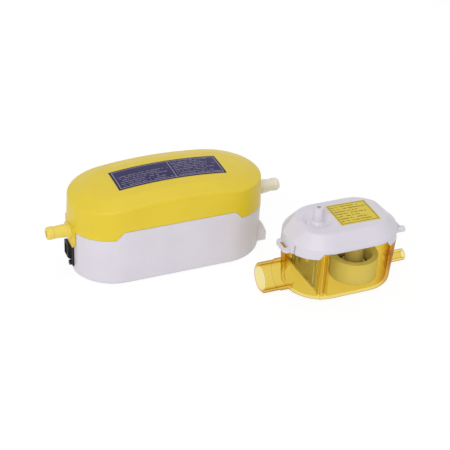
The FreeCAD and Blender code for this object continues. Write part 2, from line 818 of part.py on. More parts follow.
def top_cover():
    piece = Piece("top_cover")
    outline = Outline(piece, "XY_Plane", height=END_HEIGHT).stadium(CASING_HALF_RUN, CASING_RADIUS)
    piece.pad(outline, TOP_HEIGHT - END_HEIGHT + S.casing_wall, draft=-S.cover_draft)
    crown(piece, TOP_HEIGHT, S.top_arch_radius, S.top_crown_radius, S.pump_length * 0.6)
    rim_low = TOP_HEIGHT - S.casing_wall * 4
    piece.chamfer(S.shoulder_reach, lambda edge: edge.BoundBox.ZMin > rim_low.value,
                  second=S.shoulder_drop, flip=True)
    piece.fillet(S.crease_round, lambda edge: edge.BoundBox.ZMin > rim_low.value)
    piece.subtract(cover_cavity())
    piece.pocket(Outline(piece, "XZ_Plane").polygon(
        [(x, z + S.parting_gap) for x, z in casing_below_parting()]))
    add_tongue(piece)
    bore_cover(piece)
    cut_fitting_holes(piece)
    return piece


def add_tongue(piece):
    """The flat apron of the cover that closes the left end above the connectors."""
    half, corner = S.tongue_half_width, S.tongue_corner
    flat = Outline(piece, "YZ_Plane", height=TONGUE_FACE_X)
    flat.rectangle(-half, half, 0, S.inlet_height + S.collar_radius + S.wall_hole_clearance)
    piece.pocket(flat, S.pump_length)
    outline = Outline(piece, "YZ_Plane", height=TONGUE_FACE_X)
    outline.polygon([
        (-half, SKIRT_HEIGHT + S.casing_wall),
        (-half, S.tongue_bottom + corner),
        (corner - half, S.tongue_bottom),
        (half - corner, S.tongue_bottom),
        (half, S.tongue_bottom + corner),
        (half, SKIRT_HEIGHT + S.casing_wall),
    ])
    piece.pad(outline, S.tongue_thickness - S.parting_gap)


def bore_cover(piece):
    """Screw holes in the bosses and round seats for the rubber rings in the ribs."""
    for x, y in SCREW_SPOTS:
        hole = Outline(piece, "XY_Plane", height=S.boss_joint_height).circle(S.screw_shank_radius, x, y)
        piece.pocket(hole, S.screw_length + S.screw_recess_depth - S.boss_joint_height, up=True)
    for left in rib_offsets():
        seat = Outline(piece, "YZ_Plane", height=left)
        piece.pocket(seat.circle(S.ring_radius, 0, AXIS_HEIGHT), S.rib_thickness, up=True)


def cover_screws():
    """Four pan-head screws driven up from the underside."""
    piece = Piece("cover_screws")
    seat = S.screw_recess_depth
    for x, y in SCREW_SPOTS:
        head = Outline(piece, "XY_Plane", height=seat - S.screw_head_height)
        piece.pad(head.circle(S.screw_head_radius, x, y), S.screw_head_height)
        shank = Outline(piece, "XY_Plane", height=seat).circle(S.screw_shank_radius, x, y)
        piece.pad(shank, S.screw_length)
        drive = Outline(piece, "XY_Plane", height=seat - S.screw_head_height)
        piece.pocket(drive.circle(S.drive_radius, x, y), S.drive_depth, up=True)
    return piece


def barb_corners(tip, root, side, root_radius):
    """Outer corners of a hose barb from tip to root; side is +1 when the tip points to +X."""
    shoulder = tip - side * S.barb_tip_run
    land_end = shoulder - side * S.barb_land
    return [
        (tip, S.barb_tip_radius),
        (shoulder, S.barb_radius),
        (land_end, S.barb_radius),
        (land_end - side * S.parting_gap, S.barb_waist_radius),
        (root, root_radius),
    ]


def inlet_fitting():
    """Barb, collar and inner nipple in one moulding, held in the left end wall."""
    tip = -S.inlet_reach
    collar_out = TONGUE_FACE_X - S.collar_thickness
    nipple_end = WALL_INSIDE_X + S.collar_thickness + S.inlet_nipple_length
    corners = [(tip, S.barb_bore_radius)]
    corners += barb_corners(tip, collar_out, -1, S.inlet_root_radius)
    corners += [
        (collar_out, S.collar_radius),
        (TONGUE_FACE_X, S.collar_radius),
        (TONGUE_FACE_X, S.neck_radius),
        (WALL_INSIDE_X, S.neck_radius),
        (WALL_INSIDE_X, S.collar_radius),
        (WALL_INSIDE_X + S.collar_thickness, S.collar_radius),
        (WALL_INSIDE_X + S.collar_thickness, S.inlet_nipple_radius),
        (nipple_end, S.inlet_nipple_radius),
        (nipple_end, S.barb_bore_radius),
    ]
    return turned("inlet_fitting", [corners], height=S.inlet_height)


def on_pump_axis(label, profiles):
    return turned(label, profiles, along_x=S.pump_centre_x, height=AXIS_HEIGHT)


def ring_profile(x_low, x_high, bore, radius):
    return [(x_low, bore), (x_high, bore), (x_high, radius), (x_low, radius)]


def suction_cap():
    end = -S.cylinder_half_length
    flange = end - S.cap_flange
    tip = flange - S.cap_nipple_length
    return on_pump_axis("suction_cap", [[
        (tip, S.cap_bore_radius),
        (tip, S.cap_nipple_radius),
        (flange, S.cap_nipple_radius),
        (flange, S.cylinder_radius),
        (end, S.cylinder_radius),
        (end, S.cylinder_bore_radius),
        (end + S.plug_length, S.cylinder_bore_radius),
        (end + S.plug_length, S.cap_bore_radius),
    ]])


def outlet_head():
    """Valve chamber and nozzle in one moulding, screwed into the cylinder's right end."""
    end = S.cylinder_half_length
    plug = S.piston_half_length + S.buffer_gap
    flange = end + S.head_flange
    body = flange + S.head_body_length
    neck = body + S.head_taper_length
    tip = S.inlet_reach + S.wall_hole_clearance - S.pump_centre_x
    root = tip - S.barb_length
    chamber = plug + S.head_port_length
    chamber_end = chamber + S.head_chamber_length
    corners = [
        (plug, S.barb_bore_radius),
        (plug, S.cylinder_bore_radius),
        (end, S.cylinder_bore_radius),
        (end, S.head_flange_radius),
        (flange, S.head_flange_radius),
        (flange, S.head_body_radius),
        (body, S.head_body_radius),
        (neck, S.outlet_root_radius),
    ]
    corners += barb_corners(tip, root, 1, S.outlet_root_radius)[::-1]
    corners += [
        (tip, S.barb_bore_radius),
        (chamber_end, S.barb_bore_radius),
        (chamber_end, S.head_chamber_radius),
        (chamber, S.head_chamber_radius),
        (chamber, S.barb_bore_radius),
    ]
    return on_pump_axis("outlet_head", [corners])


def piston():
    half = S.piston_half_length
    radius = S.cylinder_bore_radius - S.running_clearance
    pocket = half - S.valve_pocket_depth
    return on_pump_axis("piston", [[
        (-half, S.piston_bore_radius),
        (-half, radius),
        (half, radius),
        (half, S.valve_pocket_radius),
        (pocket, S.valve_pocket_radius),
        (pocket, S.piston_bore_radius),
    ]])


def valves():
    """The disc in the piston's nose with its cage, and the sprung valve in the outlet head."""
    seat = S.piston_half_length - S.valve_pocket_depth
    disc = [(seat, 0), (seat + S.valve_thickness, 0),
            (seat + S.valve_thickness, S.valve_radius), (seat, S.valve_radius)]
    on_pump_axis("piston_valve", [disc])
    nose = S.piston_half_length
    cage = ring_profile(nose - S.cage_thickness, nose, S.cage_bore_radius, S.valve_pocket_radius)
    on_pump_axis("piston_valve_cage", [cage])
    chamber = S.piston_half_length + S.buffer_gap + S.head_port_length
    face = chamber + S.valve_thickness
    stem = face + S.valve_stem_length
    on_pump_axis("outlet_valve", [[
        (chamber, 0),
        (stem, 0),
        (stem, S.valve_stem_radius),
        (face, S.valve_stem_radius),
        (face, S.valve_radius),
        (chamber, S.valve_radius),
    ]])


def spring(label, x_low, x_high, coil_radius, wire, turns):
    """A round-wire coil between two faces on the pump's axis."""
    piece = Piece(label)
    across = Outline(piece, "XZ_Plane", right=S.pump_centre_x + x_low + wire / 2, up=AXIS_HEIGHT)
    across.circle(wire / 2, 0, coil_radius)
    helix = piece.body.newObject("PartDesign::AdditiveHelix", "Coil")
    helix.Profile = across.sketch
    helix.ReferenceAxis = (across.sketch, ["H_Axis"])
    helix.Mode = "height-turns-angle"
    helix.setExpression("Height", (x_high - x_low - wire).formula)
    helix.setExpression("Turns", turns.formula)
    helix.Reversed = False
    DOCUMENT.recompute()
    return piece


def springs():
    half, end = S.piston_half_length, S.cylinder_half_length
    coil, wire, turns = S.piston_spring_radius, S.piston_spring_wire, S.piston_spring_turns
    spring("return_spring", S.plug_length - end, -half, coil, wire, turns)
    spring("buffer_spring", half, half + S.buffer_gap, coil, wire, turns)
    face = half + S.buffer_gap + S.head_port_length + S.valve_thickness
    chamber_end = half + S.buffer_gap + S.head_port_length + S.head_chamber_length
    spring("outlet_valve_spring", face, chamber_end,
           S.valve_spring_radius, S.valve_spring_wire, S.valve_spring_turns)


def coil_assembly():
    """Cylinder, steel sleeves, wound bobbin, steel yoke and rubber rings about the pump's axis."""
    end, tube = S.cylinder_half_length, S.cylinder_radius
    on_pump_axis("cylinder", [ring_profile(-end, end, S.cylinder_bore_radius, tube)])
    inside = S.yoke_half_length - S.yoke_plate
    sleeve = tube + S.sleeve_thickness
    on_pump_axis("pole_sleeves", [
        ring_profile(-inside, S.sleeve_length - inside, tube, sleeve),
        ring_profile(inside - S.sleeve_length, inside, tube, sleeve),
    ])
    core = S.bobbin_bore_radius + S.bobbin_core
    wound = inside - S.bobbin_flange
    on_pump_axis("coil_bobbin", [[
        (-inside, S.bobbin_bore_radius),
        (-inside, S.bobbin_flange_radius),
        (-wound, S.bobbin_flange_radius),
        (-wound, core),
        (wound, core),
        (wound, S.bobbin_flange_radius),
        (inside, S.bobbin_flange_radius),
        (inside, S.bobbin_bore_radius),
    ]])
    on_pump_axis("coil_winding", [ring_profile(-wound, wound, core, S.winding_radius)])
    ring_in, ring_out = S.yoke_half_length, S.yoke_half_length + S.ring_width
    on_pump_axis("rear_rubber_ring", [ring_profile(-ring_out, -ring_in, tube, S.ring_radius)])
    on_pump_axis("front_rubber_ring", [ring_profile(ring_in, ring_out, tube, S.ring_radius)])
    yoke()


def yoke():
    """Rectangular steel frame round the coil, pierced at both ends for the cylinder."""
    piece = Piece("steel_yoke")
    length, height, plate = S.yoke_half_length, YOKE_HALF_HEIGHT, S.yoke_plate
    outline = Outline(piece, "XZ_Plane", height=-S.yoke_half_width, right=S.pump_centre_x,
                      up=AXIS_HEIGHT)
    outline.rectangle(-length, length, -height, height)
    outline.rectangle(plate - length, length - plate, plate - height, height - plate)
    piece.pad(outline, S.yoke_half_width * 2, down=True)
    hole = Outline(piece, "YZ_Plane", height=S.pump_centre_x).circle(S.cylinder_radius, 0, AXIS_HEIGHT)
    piece.pocket(hole)
    top = AXIS_HEIGHT + height
    half_length, half_width = S.cutout_length / 2, S.cutout_width / 2
    box("thermal_cutout", S.pump_centre_x - half_length, S.pump_centre_x + half_length,
        -half_width, half_width, top, top + S.cutout_height)


def suction_hose():
    """Short S-shaped hose from the inlet fitting up to the pump's suction nipple."""
    start_x = (WALL_INSIDE_X + S.collar_thickness).value
    end_x = (S.pump_centre_x - S.cylinder_half_length - S.cap_flange).value
    low, high = S.inlet_height.value, AXIS_HEIGHT.value
    bend_start = start_x + S.inlet_nipple_length.value + S.hose_lead.value
    bend_end = end_x - S.cap_nipple_length.value - S.hose_lead.value
    run, rise = bend_end - bend_start, high - low
    radius = (run * run + rise * rise) / (4 * rise)
    middle = Vector((bend_start + bend_end) / 2, 0, (low + high) / 2)
    turn = math.asin(run / 2 / radius) / 2
    first_mid = Vector(bend_start + radius * math.sin(turn), 0, low + radius * (1 - math.cos(turn)))
    second_mid = Vector(bend_end - radius * math.sin(turn), 0, high - radius * (1 - math.cos(turn)))
    first = Vector(bend_start, 0, low)
    last = Vector(bend_end, 0, high)
    path = Part.Wire([
        Part.LineSegment(Vector(start_x, 0, low), first).toShape(),
        Part.Arc(first, first_mid, middle).toShape(),
        Part.Arc(middle, second_mid, last).toShape(),
        Part.LineSegment(last, Vector(end_x, 0, high)).toShape(),
    ])
    inner = S.inlet_nipple_radius.value
    shapes = []
    for tube_radius in (inner + S.hose_wall.value, inner):
        circle = Part.Circle(Vector(start_x, 0, low), Vector(1, 0, 0), tube_radius)
        section = Part.Wire([circle.toShape()])
        shapes.append(path.makePipeShell([section], True, False))
    hose = DOCUMENT.addObject("Part::Feature", "suction_hose")
    hose.Shape = shapes[0].cut(shapes[1])
    hose.Placement = Placement(Vector(0, 0, 0), Rotation())
    hose.Label = "suction_hose"
    NODES.append(hose)


def circuit_board():
    piece = box("circuit_board", -S.board_left, S.board_right, -S.board_half_width,
                S.board_half_width, S.board_underside, BOARD_TOP)
    for x in (-S.standoff_x, S.standoff_x):
        piece.pocket(Outline(piece, "XY_Plane").circle(S.board_screw_radius, x, 0))
    screws = Piece("board_screws")
    for x in (-S.standoff_x, S.standoff_x):
        head = Outline(screws, "XY_Plane", height=BOARD_TOP).circle(S.board_screw_head_radius, x, 0)
        screws.pad(head, S.board_screw_head_height)
        shank = Outline(screws, "XY_Plane", height=BOARD_TOP).circle(S.board_screw_radius, x, 0)
        screws.pad(shank, BOARD_TOP - S.casing_wall, down=True)


def board_parts():
    """The larger components on the board."""
    upright("smoothing_capacitor", [[
        (0, BOARD_TOP),
        (S.capacitor_radius, BOARD_TOP),
        (S.capacitor_radius, BOARD_TOP + S.capacitor_height),
        (0, BOARD_TOP + S.capacitor_height),
    ]], x=S.capacitor_x)
    for label, x, length, width, height in (
        ("pump_relay", S.relay_x, S.relay_length, S.relay_width, S.relay_height),
        ("filter_capacitor", S.filter_capacitor_x, S.filter_capacitor_length,
         S.filter_capacitor_width, S.filter_capacitor_height),
        ("control_chip", S.chip_x, S.chip_length, S.chip_width, S.chip_height),
    ):
        box(label, x - length / 2, x + length / 2, -width / 2, width / 2, BOARD_TOP, BOARD_TOP + height)
    half, cap = S.fuse_length / 2, S.fuse_length / 2 - S.fuse_cap_length
    waist = S.fuse_radius - S.fit_clearance
    turned("board_fuse", [[
        (-half, 0),
        (-half, S.fuse_radius),
        (-cap, S.fuse_radius),
        (-cap, waist),
        (cap, waist),
        (cap, S.fuse_radius),
        (half, S.fuse_radius),
        (half, 0),
    ]], along_x=S.fuse_x, height=BOARD_TOP + S.fuse_radius)


def socket(label, front, y_low, y_high, bottom, corner, sill):
    """A connector shell that overhangs the board's end and shows in the casing's window.

    Its lower front edge is cut off by a corner, and its mouth starts a sill above its underside.
    """
    piece = Piece(label)
    side = Outline(piece, "XZ_Plane", height=y_low)
    overhang = S.board_left + S.window_clearance
    side.polygon([
        (-front, bottom + corner),
        (corner - front, bottom),
        (-overhang, bottom),
        (-overhang, BOARD_TOP),
        (-S.socket_back, BOARD_TOP),
        (-S.socket_back, S.socket_top),
        (-front, S.socket_top),
    ])
    piece.pad(side, y_high - y_low, down=True)
    mouth = Outline(piece, "YZ_Plane", height=-front)
    shell = S.socket_shell
    mouth.rectangle(y_low + shell, y_high - shell, bottom + sill, S.socket_top - shell)
    return piece.pocket(mouth, S.socket_recess_depth, up=True)


def contacts(label, front, y_low, y_high, low, count):
    """Flat contacts on the back wall of a connector, evenly spaced in its mouth."""
    piece = Piece(label)
    pitch = (S.socket_top - S.socket_shell - low) / count
    middle = (y_low + y_high) / 2
    half = S.contact_thickness / 2
    for step in range(count):
        height = low + pitch * (step + 0.5)
        outline = Outline(piece, "XZ_Plane", height=middle - half)
        outline.rectangle(S.contact_short - front, S.socket_recess_depth - front,
                          height - pitch / 4, height + pitch / 4)
        piece.pad(outline, S.contact_thickness, down=True)


def connectors():
    front, near, far = S.power_socket_front, S.power_socket_near, S.power_socket_far
    bottom, corner = S.power_socket_bottom, S.power_socket_corner
    sill = corner + S.socket_shell
    socket("power_socket", front, near, far, bottom, corner, sill)
    contacts("power_contacts", front, near, far, bottom + sill, 3)
    front, low, high = S.sensor_socket_front, -S.sensor_socket_near, S.power_socket_near
    bottom, corner = S.sensor_socket_bottom, S.sensor_socket_corner
    sill = S.latch_lug_height + S.socket_shell / 2
    piece = socket("sensor_socket", front, low, high, bottom, corner, sill)
    lug = Outline(piece, "XY_Plane", height=bottom + corner)
    lug.rectangle(-front - S.latch_lug_proud, -front, low + S.socket_shell, high - S.socket_shell / 2)
    piece.pad(lug, S.latch_lug_height - corner)
    contacts("sensor_contacts", front, low, high, bottom + sill, 4)


def crowned_label(label, x_low, x_high, half_width, height, arch_radius, crown_radius, in_tank=False):
    """A thin label that lies on a double-curved top."""
    piece = Piece(label, in_tank=in_tank)
    outline = Outline(piece, "XY_Plane", height=height - S.shoulder_drop * 3)
    outline.rectangle(x_low, x_high, -half_width, half_width)
    piece.pad(outline, S.shoulder_drop * 4)
    span = S.pump_length * 0.6
    crown(piece, height + S.label_thickness, arch_radius, crown_radius, span)
    bed = Piece(label + "_bed", kept=False)
    outline = Outline(bed, "XY_Plane", height=height - S.shoulder_drop * 4)
    outline.rectangle(x_low - 1, x_high + 1, -half_width - 1, half_width + 1)
    bed.pad(outline, S.shoulder_drop * 5)
    crown(bed, height, arch_radius, crown_radius, span)
    return piece.subtract(bed)


def tank_parting(gap):
    """Corners of the region above the tank's joint line, raised by a gap."""
    reach, roof = S.tank_length, LID_TOP_HEIGHT * 2
    return [
        (-reach, TANK_END_HEIGHT + gap),
        (-S.tank_length / 2, TANK_END_HEIGHT + gap),
        (-S.tank_skirt_half_run, TANK_SKIRT_HEIGHT + gap),
        (-S.tank_parting_half_run, S.tank_parting_height + gap),
        (S.tank_parting_half_run, S.tank_parting_height + gap),
        (S.tank_skirt_half_run, TANK_SKIRT_HEIGHT + gap),
        (S.tank_length / 2, TANK_END_HEIGHT + gap),
        (reach, TANK_END_HEIGHT + gap),
        (reach, roof),
        (-reach, roof),
    ]


def tank():
    piece = Piece("tank", in_tank=True)
    foot_radius = TANK_RADIUS - slope(S.tank_draft) * TANK_END_HEIGHT
    outline = Outline(piece, "XY_Plane").stadium(TANK_HALF_RUN, foot_radius)
    piece.pad(outline, TANK_END_HEIGHT, draft=S.tank_draft)
    outline = Outline(piece, "XY_Plane", height=TANK_END_HEIGHT).stadium(TANK_HALF_RUN, TANK_RADIUS)
    piece.pad(outline, S.tank_parting_height - TANK_END_HEIGHT + S.tank_wall)
    piece.fillet(S.tank_edge_round, lambda edge: edge.BoundBox.ZMax < 1e-3)
    for reach, radius in ((S.spigot_reach, S.spigot_radius), (S.spigot_root_reach, S.spigot_root_radius)):
        spigot = Outline(piece, "YZ_Plane", height=-reach).circle(radius, 0, S.spigot_height)
        piece.pad(spigot, reach - TANK_HALF_RUN)
    lip = -S.spigot_reach
    piece.chamfer(S.spigot_lip_chamfer, lambda edge: edge.BoundBox.XMax < lip.value + 1e-3)
    for reach, radius in ((S.nipple_reach, S.nipple_radius), (S.nipple_root_reach, S.nipple_root_radius)):
        nipple = Outline(piece, "YZ_Plane", height=reach).circle(radius, S.nipple_y, S.nipple_height)
        piece.pad(nipple, reach - TANK_HALF_RUN, down=True)
    add_tank_catches(piece)
    piece.pocket(Outline(piece, "XZ_Plane").polygon(tank_parting(0)))
    hollow_tank(piece)
    return piece


def add_tank_catches(piece):
    """A narrow upright tab at each end that the lid's slotted ledge drops over."""
    foot = TANK_END_HEIGHT - S.catch_rise
    for side in (-1, 1):
        tab = Outline(piece, "XZ_Plane", height=-S.catch_half_width)
        tab.polygon([
            (side * (TANK_HALF_RUN + TANK_RADIUS / 2), foot),
            (side * (TANK_HALF_RUN + TANK_RADIUS - S.tank_wall), foot),
            (side * SLOT_OUTER_X, TANK_END_HEIGHT - S.catch_thickness),
            (side * SLOT_OUTER_X, TANK_END_HEIGHT),
            (side * (TANK_HALF_RUN + TANK_RADIUS / 2), TANK_END_HEIGHT),
        ])
        piece.pad(tab, S.catch_half_width * 2, down=True)


def hollow_tank(piece):
    """Basin, bores, rim, filter guides and the catch tips that stand above the joint line."""
    floor_radius = TANK_RADIUS - slope(S.tank_draft) * TANK_END_HEIGHT - S.tank_wall
    basin = Outline(piece, "XY_Plane", height=S.tank_wall).stadium(TANK_HALF_RUN, floor_radius)
    piece.pocket(basin, S.tank_parting_height, draft=S.tank_cavity_draft, up=True)
    rim_root = TANK_END_HEIGHT - S.tank_lip_depth
    rim = Outline(piece, "XY_Plane", height=rim_root)
    rim.stadium(TANK_HALF_RUN, TANK_LIP_RADIUS)
    rim.stadium(TANK_HALF_RUN, TANK_LIP_RADIUS - S.tank_lip_thickness)
    lip_top = BAND_HEIGHT - S.seal_thickness - S.lid_rest_gap
    piece.pad(rim, lip_top - rim_root)
    spigot = Outline(piece, "YZ_Plane", height=-S.spigot_reach)
    piece.pocket(spigot.circle(S.spigot_bore_radius, 0, S.spigot_height),
                 S.spigot_reach - TANK_HALF_RUN - floor_radius / 2, up=True)
    nipple = Outline(piece, "YZ_Plane", height=S.nipple_reach)
    nipple.circle(S.nipple_bore_radius, S.nipple_y, S.nipple_height)
    piece.pocket(nipple, S.nipple_reach - TANK_HALF_RUN - floor_radius / 2)
    add_guide_ribs(piece, floor_radius)
    for side in (-1, 1):
        tip = Outline(piece, "XZ_Plane", height=-S.catch_half_width)
        tip.rectangle(side * (SLOT_OUTER_X - S.catch_thickness), side * SLOT_OUTER_X,
                      TANK_END_HEIGHT - S.catch_thickness, LEDGE_TOP - S.catch_drop)
        piece.pad(tip, S.catch_half_width * 2, down=True)


def add_guide_ribs(piece, floor_radius):
    """Two upright ribs with a groove between them, on each long wall beside the filter."""
    for left in (S.guide_rib_x - S.guide_rib_thickness, S.guide_rib_x + S.guide_groove):
        for side in (-1, 1):
            rib = Outline(piece, "YZ_Plane", height=left)
            rib.rectangle(side * S.guide_rib_inner, side * (floor_radius + S.tank_wall / 2),
                          S.tank_wall / 2, S.tank_parting_height - S.guide_rib_drop)
            piece.pad(rib, S.guide_rib_thickness)


def tank_lid():
    piece = Piece("tank_lid", in_tank=True)
    band_rise = BAND_HEIGHT - LID_SKIRT_HEIGHT
    outline = Outline(piece, "XY_Plane", height=LID_SKIRT_HEIGHT).stadium(TANK_HALF_RUN, TANK_RADIUS)
    piece.pad(outline, band_rise, draft=-S.lid_band_draft)
    shoulder_radius = TANK_RADIUS - slope(S.lid_band_draft) * band_rise
    outline = Outline(piece, "XY_Plane", height=BAND_HEIGHT).stadium(TANK_HALF_RUN, shoulder_radius)
    piece.pad(outline, LID_TOP_HEIGHT - BAND_HEIGHT + 1, draft=-S.lid_shoulder_draft)
    crown(piece, LID_TOP_HEIGHT, S.lid_arch_radius, S.lid_crown_radius, S.tank_length * 0.6)
    band = BAND_HEIGHT.value

    def at_band(edge):
        x_low, x_high, y_low, y_high, z_low, z_high = edge_box(edge)
        return abs(z_low - band) < 1e-3 and abs(z_high - band) < 1e-3

    piece.fillet(S.lid_band_round, at_band)
    top = LID_TOP_HEIGHT.value - 2.0
    piece.fillet(S.lid_rim_round, lambda edge: edge.BoundBox.ZMin > top)
    cut_lid_facets(piece)
    add_lid_ledges(piece)
    gland = Outline(piece, "YZ_Plane", height=S.gland_reach)
    piece.pad(gland.circle(S.gland_radius, S.gland_y, GLAND_HEIGHT),
              S.gland_reach - TANK_HALF_RUN - TANK_RADIUS / 2, down=True)
    hollow_lid(piece)
    add_vent(piece)
    return piece


def cut_lid_facets(piece):
    """A steep flat on each end of the shoulder, above the finger ledge."""
    high = LID_TOP_HEIGHT - S.lid_facet_drop
    rise = high - BAND_HEIGHT
    run = S.lid_facet_low_x - S.lid_facet_high_x
    top_x = S.lid_facet_high_x - run
    for side in (-1, 1):
        outline = Outline(piece, "XZ_Plane")
        outline.polygon([
            (side * S.lid_facet_low_x, BAND_HEIGHT),
            (side * S.lid_facet_high_x, high),
            (side * top_x, high + rise),
            (side * (S.lid_facet_low_x + run), high + rise),
            (side * (S.lid_facet_low_x + run), BAND_HEIGHT),
        ])
        piece.pocket(outline)


def add_lid_ledges(piece):
    """The finger ledge at each end of the lid."""
    root = TANK_HALF_RUN + TANK_RADIUS / 2
    for side in (-1, 1):
        outline = Outline(piece, "XY_Plane", height=LID_SKIRT_HEIGHT)
        outline.rectangle(side * root, side * S.ledge_reach, -S.ledge_half_width, S.ledge_half_width)
        piece.pad(outline, S.ledge_thickness)
    reach = S.ledge_reach.value
    piece.fillet(S.ledge_corner_round, lambda edge: (
        abs(edge.BoundBox.XMax) > reach - 1e-3 and edge.BoundBox.XLength < 1e-3
        and edge.BoundBox.YLength < 1e-3) or (
        abs(edge.BoundBox.XMin) > reach - 1e-3 and edge.BoundBox.XLength < 1e-3
        and edge.BoundBox.YLength < 1e-3))


def hollow_lid(piece):
    """Inside of the lid, its curved lower edge, the slots and the slits beside each strap."""
    band = Outline(piece, "XY_Plane", height=LID_SKIRT_HEIGHT).stadium(TANK_HALF_RUN, LID_CAVITY_RADIUS)
    piece.pocket(band, BAND_HEIGHT - LID_SKIRT_HEIGHT, up=True)
    inner_radius = TANK_LIP_RADIUS - S.tank_lip_thickness
    roof = Outline(piece, "XY_Plane", height=BAND_HEIGHT).stadium(TANK_HALF_RUN, inner_radius)
    piece.pocket(roof, LID_CAVITY_TOP - BAND_HEIGHT, draft=-S.lid_shoulder_draft, up=True)
    drop = LID_SKIRT_HEIGHT - S.tank_wall
    below = [(S.tank_length, drop), (-S.tank_length, drop)]
    piece.pocket(Outline(piece, "XZ_Plane").polygon(tank_parting(S.lid_clearance)[:8] + below))
    for side in (-1, 1):
        near = side * (SLOT_OUTER_X + S.lid_clearance)
        far = side * (SLOT_OUTER_X - S.catch_thickness - S.lid_clearance)
        half = S.catch_half_width + S.lid_clearance
        slot = Outline(piece, "XY_Plane", height=LEDGE_TOP)
        piece.pocket(slot.rectangle(near, far, -half, half), LEDGE_TOP - drop)
    for side in (-1, 1):
        slit = Outline(piece, "YZ_Plane")
        middle = side * S.slit_y
        slit.rectangle(middle - S.slit_width / 2, middle + S.slit_width / 2,
                       drop, BAND_HEIGHT - S.slit_drop)
        piece.pocket(slit)
    gland = Outline(piece, "YZ_Plane", height=S.gland_reach)
    piece.pocket(gland.circle(S.gland_bore_radius, S.gland_y, GLAND_HEIGHT),
                 S.gland_reach - TANK_HALF_RUN - TANK_RADIUS / 2)
    boss = Outline(piece, "XY_Plane", height=LID_CAVITY_TOP + S.lid_wall / 2)
    boss.circle(S.sensor_tube_radius + S.sensor_boss_wall, S.float_x, S.float_y)
    boss.circle(S.sensor_tube_radius, S.float_x, S.float_y)
    piece.pad(boss, S.sensor_boss_depth + S.lid_wall / 2, down=True)


def add_vent(piece):
    """The dished seat in the lid and the tapered vent spigot that stands in it."""
    dish = Outline(piece, "XZ_Plane", height=S.vent_y, right=S.dish_x)
    flare = S.dish_rim_radius - S.dish_floor_radius
    dish.polygon([
        (0, DISH_FLOOR_HEIGHT),
        (S.dish_floor_radius, DISH_FLOOR_HEIGHT),
        (S.dish_rim_radius + flare, LID_TOP_HEIGHT + S.dish_depth),
        (0, LID_TOP_HEIGHT + S.dish_depth),
    ])
    piece.groove(dish, axis="V_Axis")
    vent = Outline(piece, "XZ_Plane", height=S.vent_y, right=S.vent_x)
    root = DISH_FLOOR_HEIGHT - S.lid_wall / 2
    waist = S.vent_top_radius + (S.vent_foot_radius - S.vent_top_radius) / 4
    vent.polygon([
        (0, root),
        (S.vent_foot_radius, root),
        (S.vent_foot_radius, DISH_FLOOR_HEIGHT),
        (waist, DISH_FLOOR_HEIGHT + S.vent_foot_height),
        (S.vent_top_radius, VENT_TOP),
        (0, VENT_TOP),
    ])
    piece.revolve(vent, axis="V_Axis")
    hole = Outline(piece, "XY_Plane", height=VENT_TOP).circle(S.vent_bore_radius, S.vent_x, S.vent_y)
    piece.pocket(hole, VENT_TOP - LID_CAVITY_TOP + S.lid_wall)


def lid_seal():
    """Flat gasket on the shelf inside the lid, just above the tank's rim."""
    piece = Piece("lid_seal", in_tank=True)
    outer = TANK_LIP_RADIUS + S.seal_inset
    inner = TANK_LIP_RADIUS - S.tank_lip_thickness
    ring = Outline(piece, "XY_Plane", height=BAND_HEIGHT - S.seal_thickness)
    ring.stadium(TANK_HALF_RUN, outer).stadium(TANK_HALF_RUN, inner)
    return piece.pad(ring, S.seal_thickness)


def float_ring():
    """Ring float with a web and a hub that slides on the sensor tube, and its magnet."""
    bottom = S.tank_wall + S.lid_clearance
    bore = S.sensor_tube_radius + S.float_guide_clearance
    web = bottom + S.float_web
    upright("float", [[
        (bore, bottom),
        (S.float_radius, bottom),
        (S.float_radius, bottom + S.float_height),
        (S.float_hole_radius, bottom + S.float_height),
        (S.float_hole_radius, web),
        (S.float_hub_radius, web),
        (S.float_hub_radius, bottom + S.float_hub_height),
        (bore, bottom + S.float_hub_height),
    ]], x=S.float_x, y=S.float_y, in_tank=True)
    upright("float_magnet", [[
        (S.float_hub_radius, web),
        (S.magnet_radius, web),
        (S.magnet_radius, web + S.magnet_thickness),
        (S.float_hub_radius, web + S.magnet_thickness),
    ]], x=S.float_x, y=S.float_y, in_tank=True)


def level_sensor():
    """Closed tube under the lid with a slim board and two reed switches inside."""
    outer, inner = S.sensor_tube_radius, S.sensor_tube_radius - S.sensor_tube_wall
    floor = S.sensor_tube_bottom + S.sensor_tube_wall
    upright("sensor_tube", [[
        (0, S.sensor_tube_bottom),
        (outer, S.sensor_tube_bottom),
        (outer, LID_CAVITY_TOP),
        (inner, LID_CAVITY_TOP),
        (inner, floor),
        (0, floor),
    ]], x=S.float_x, y=S.float_y, in_tank=True)
    half_width, half_thickness = S.reed_board_width / 2, S.reed_board_thickness / 2
    box("reed_board", S.float_x - half_thickness, S.float_x + half_thickness, S.float_y - half_width,
        S.float_y + half_width, floor, LID_CAVITY_TOP, in_tank=True)
    reeds = Piece("reed_switches", in_tank=True)
    centre_x = S.float_x + half_thickness + S.reed_radius
    for start in (floor + S.reed_board_thickness, floor + S.reed_length + S.reed_board_width):
        outline = Outline(reeds, "XY_Plane", height=start).circle(S.reed_radius, centre_x, S.float_y)
        reeds.pad(outline, S.reed_length)


def basket_plan(outline, inset, mouth):
    """Plan of the filter basket: narrow towards the inlet, wide at the guide ribs."""
    left, right = S.basket_left - mouth, S.basket_right - inset
    near, far = S.basket_left_half_width - inset, S.basket_right_half_width - inset * 1.6
    return outline.polygon([(left, -near), (right, -far), (right, far), (left, near)])


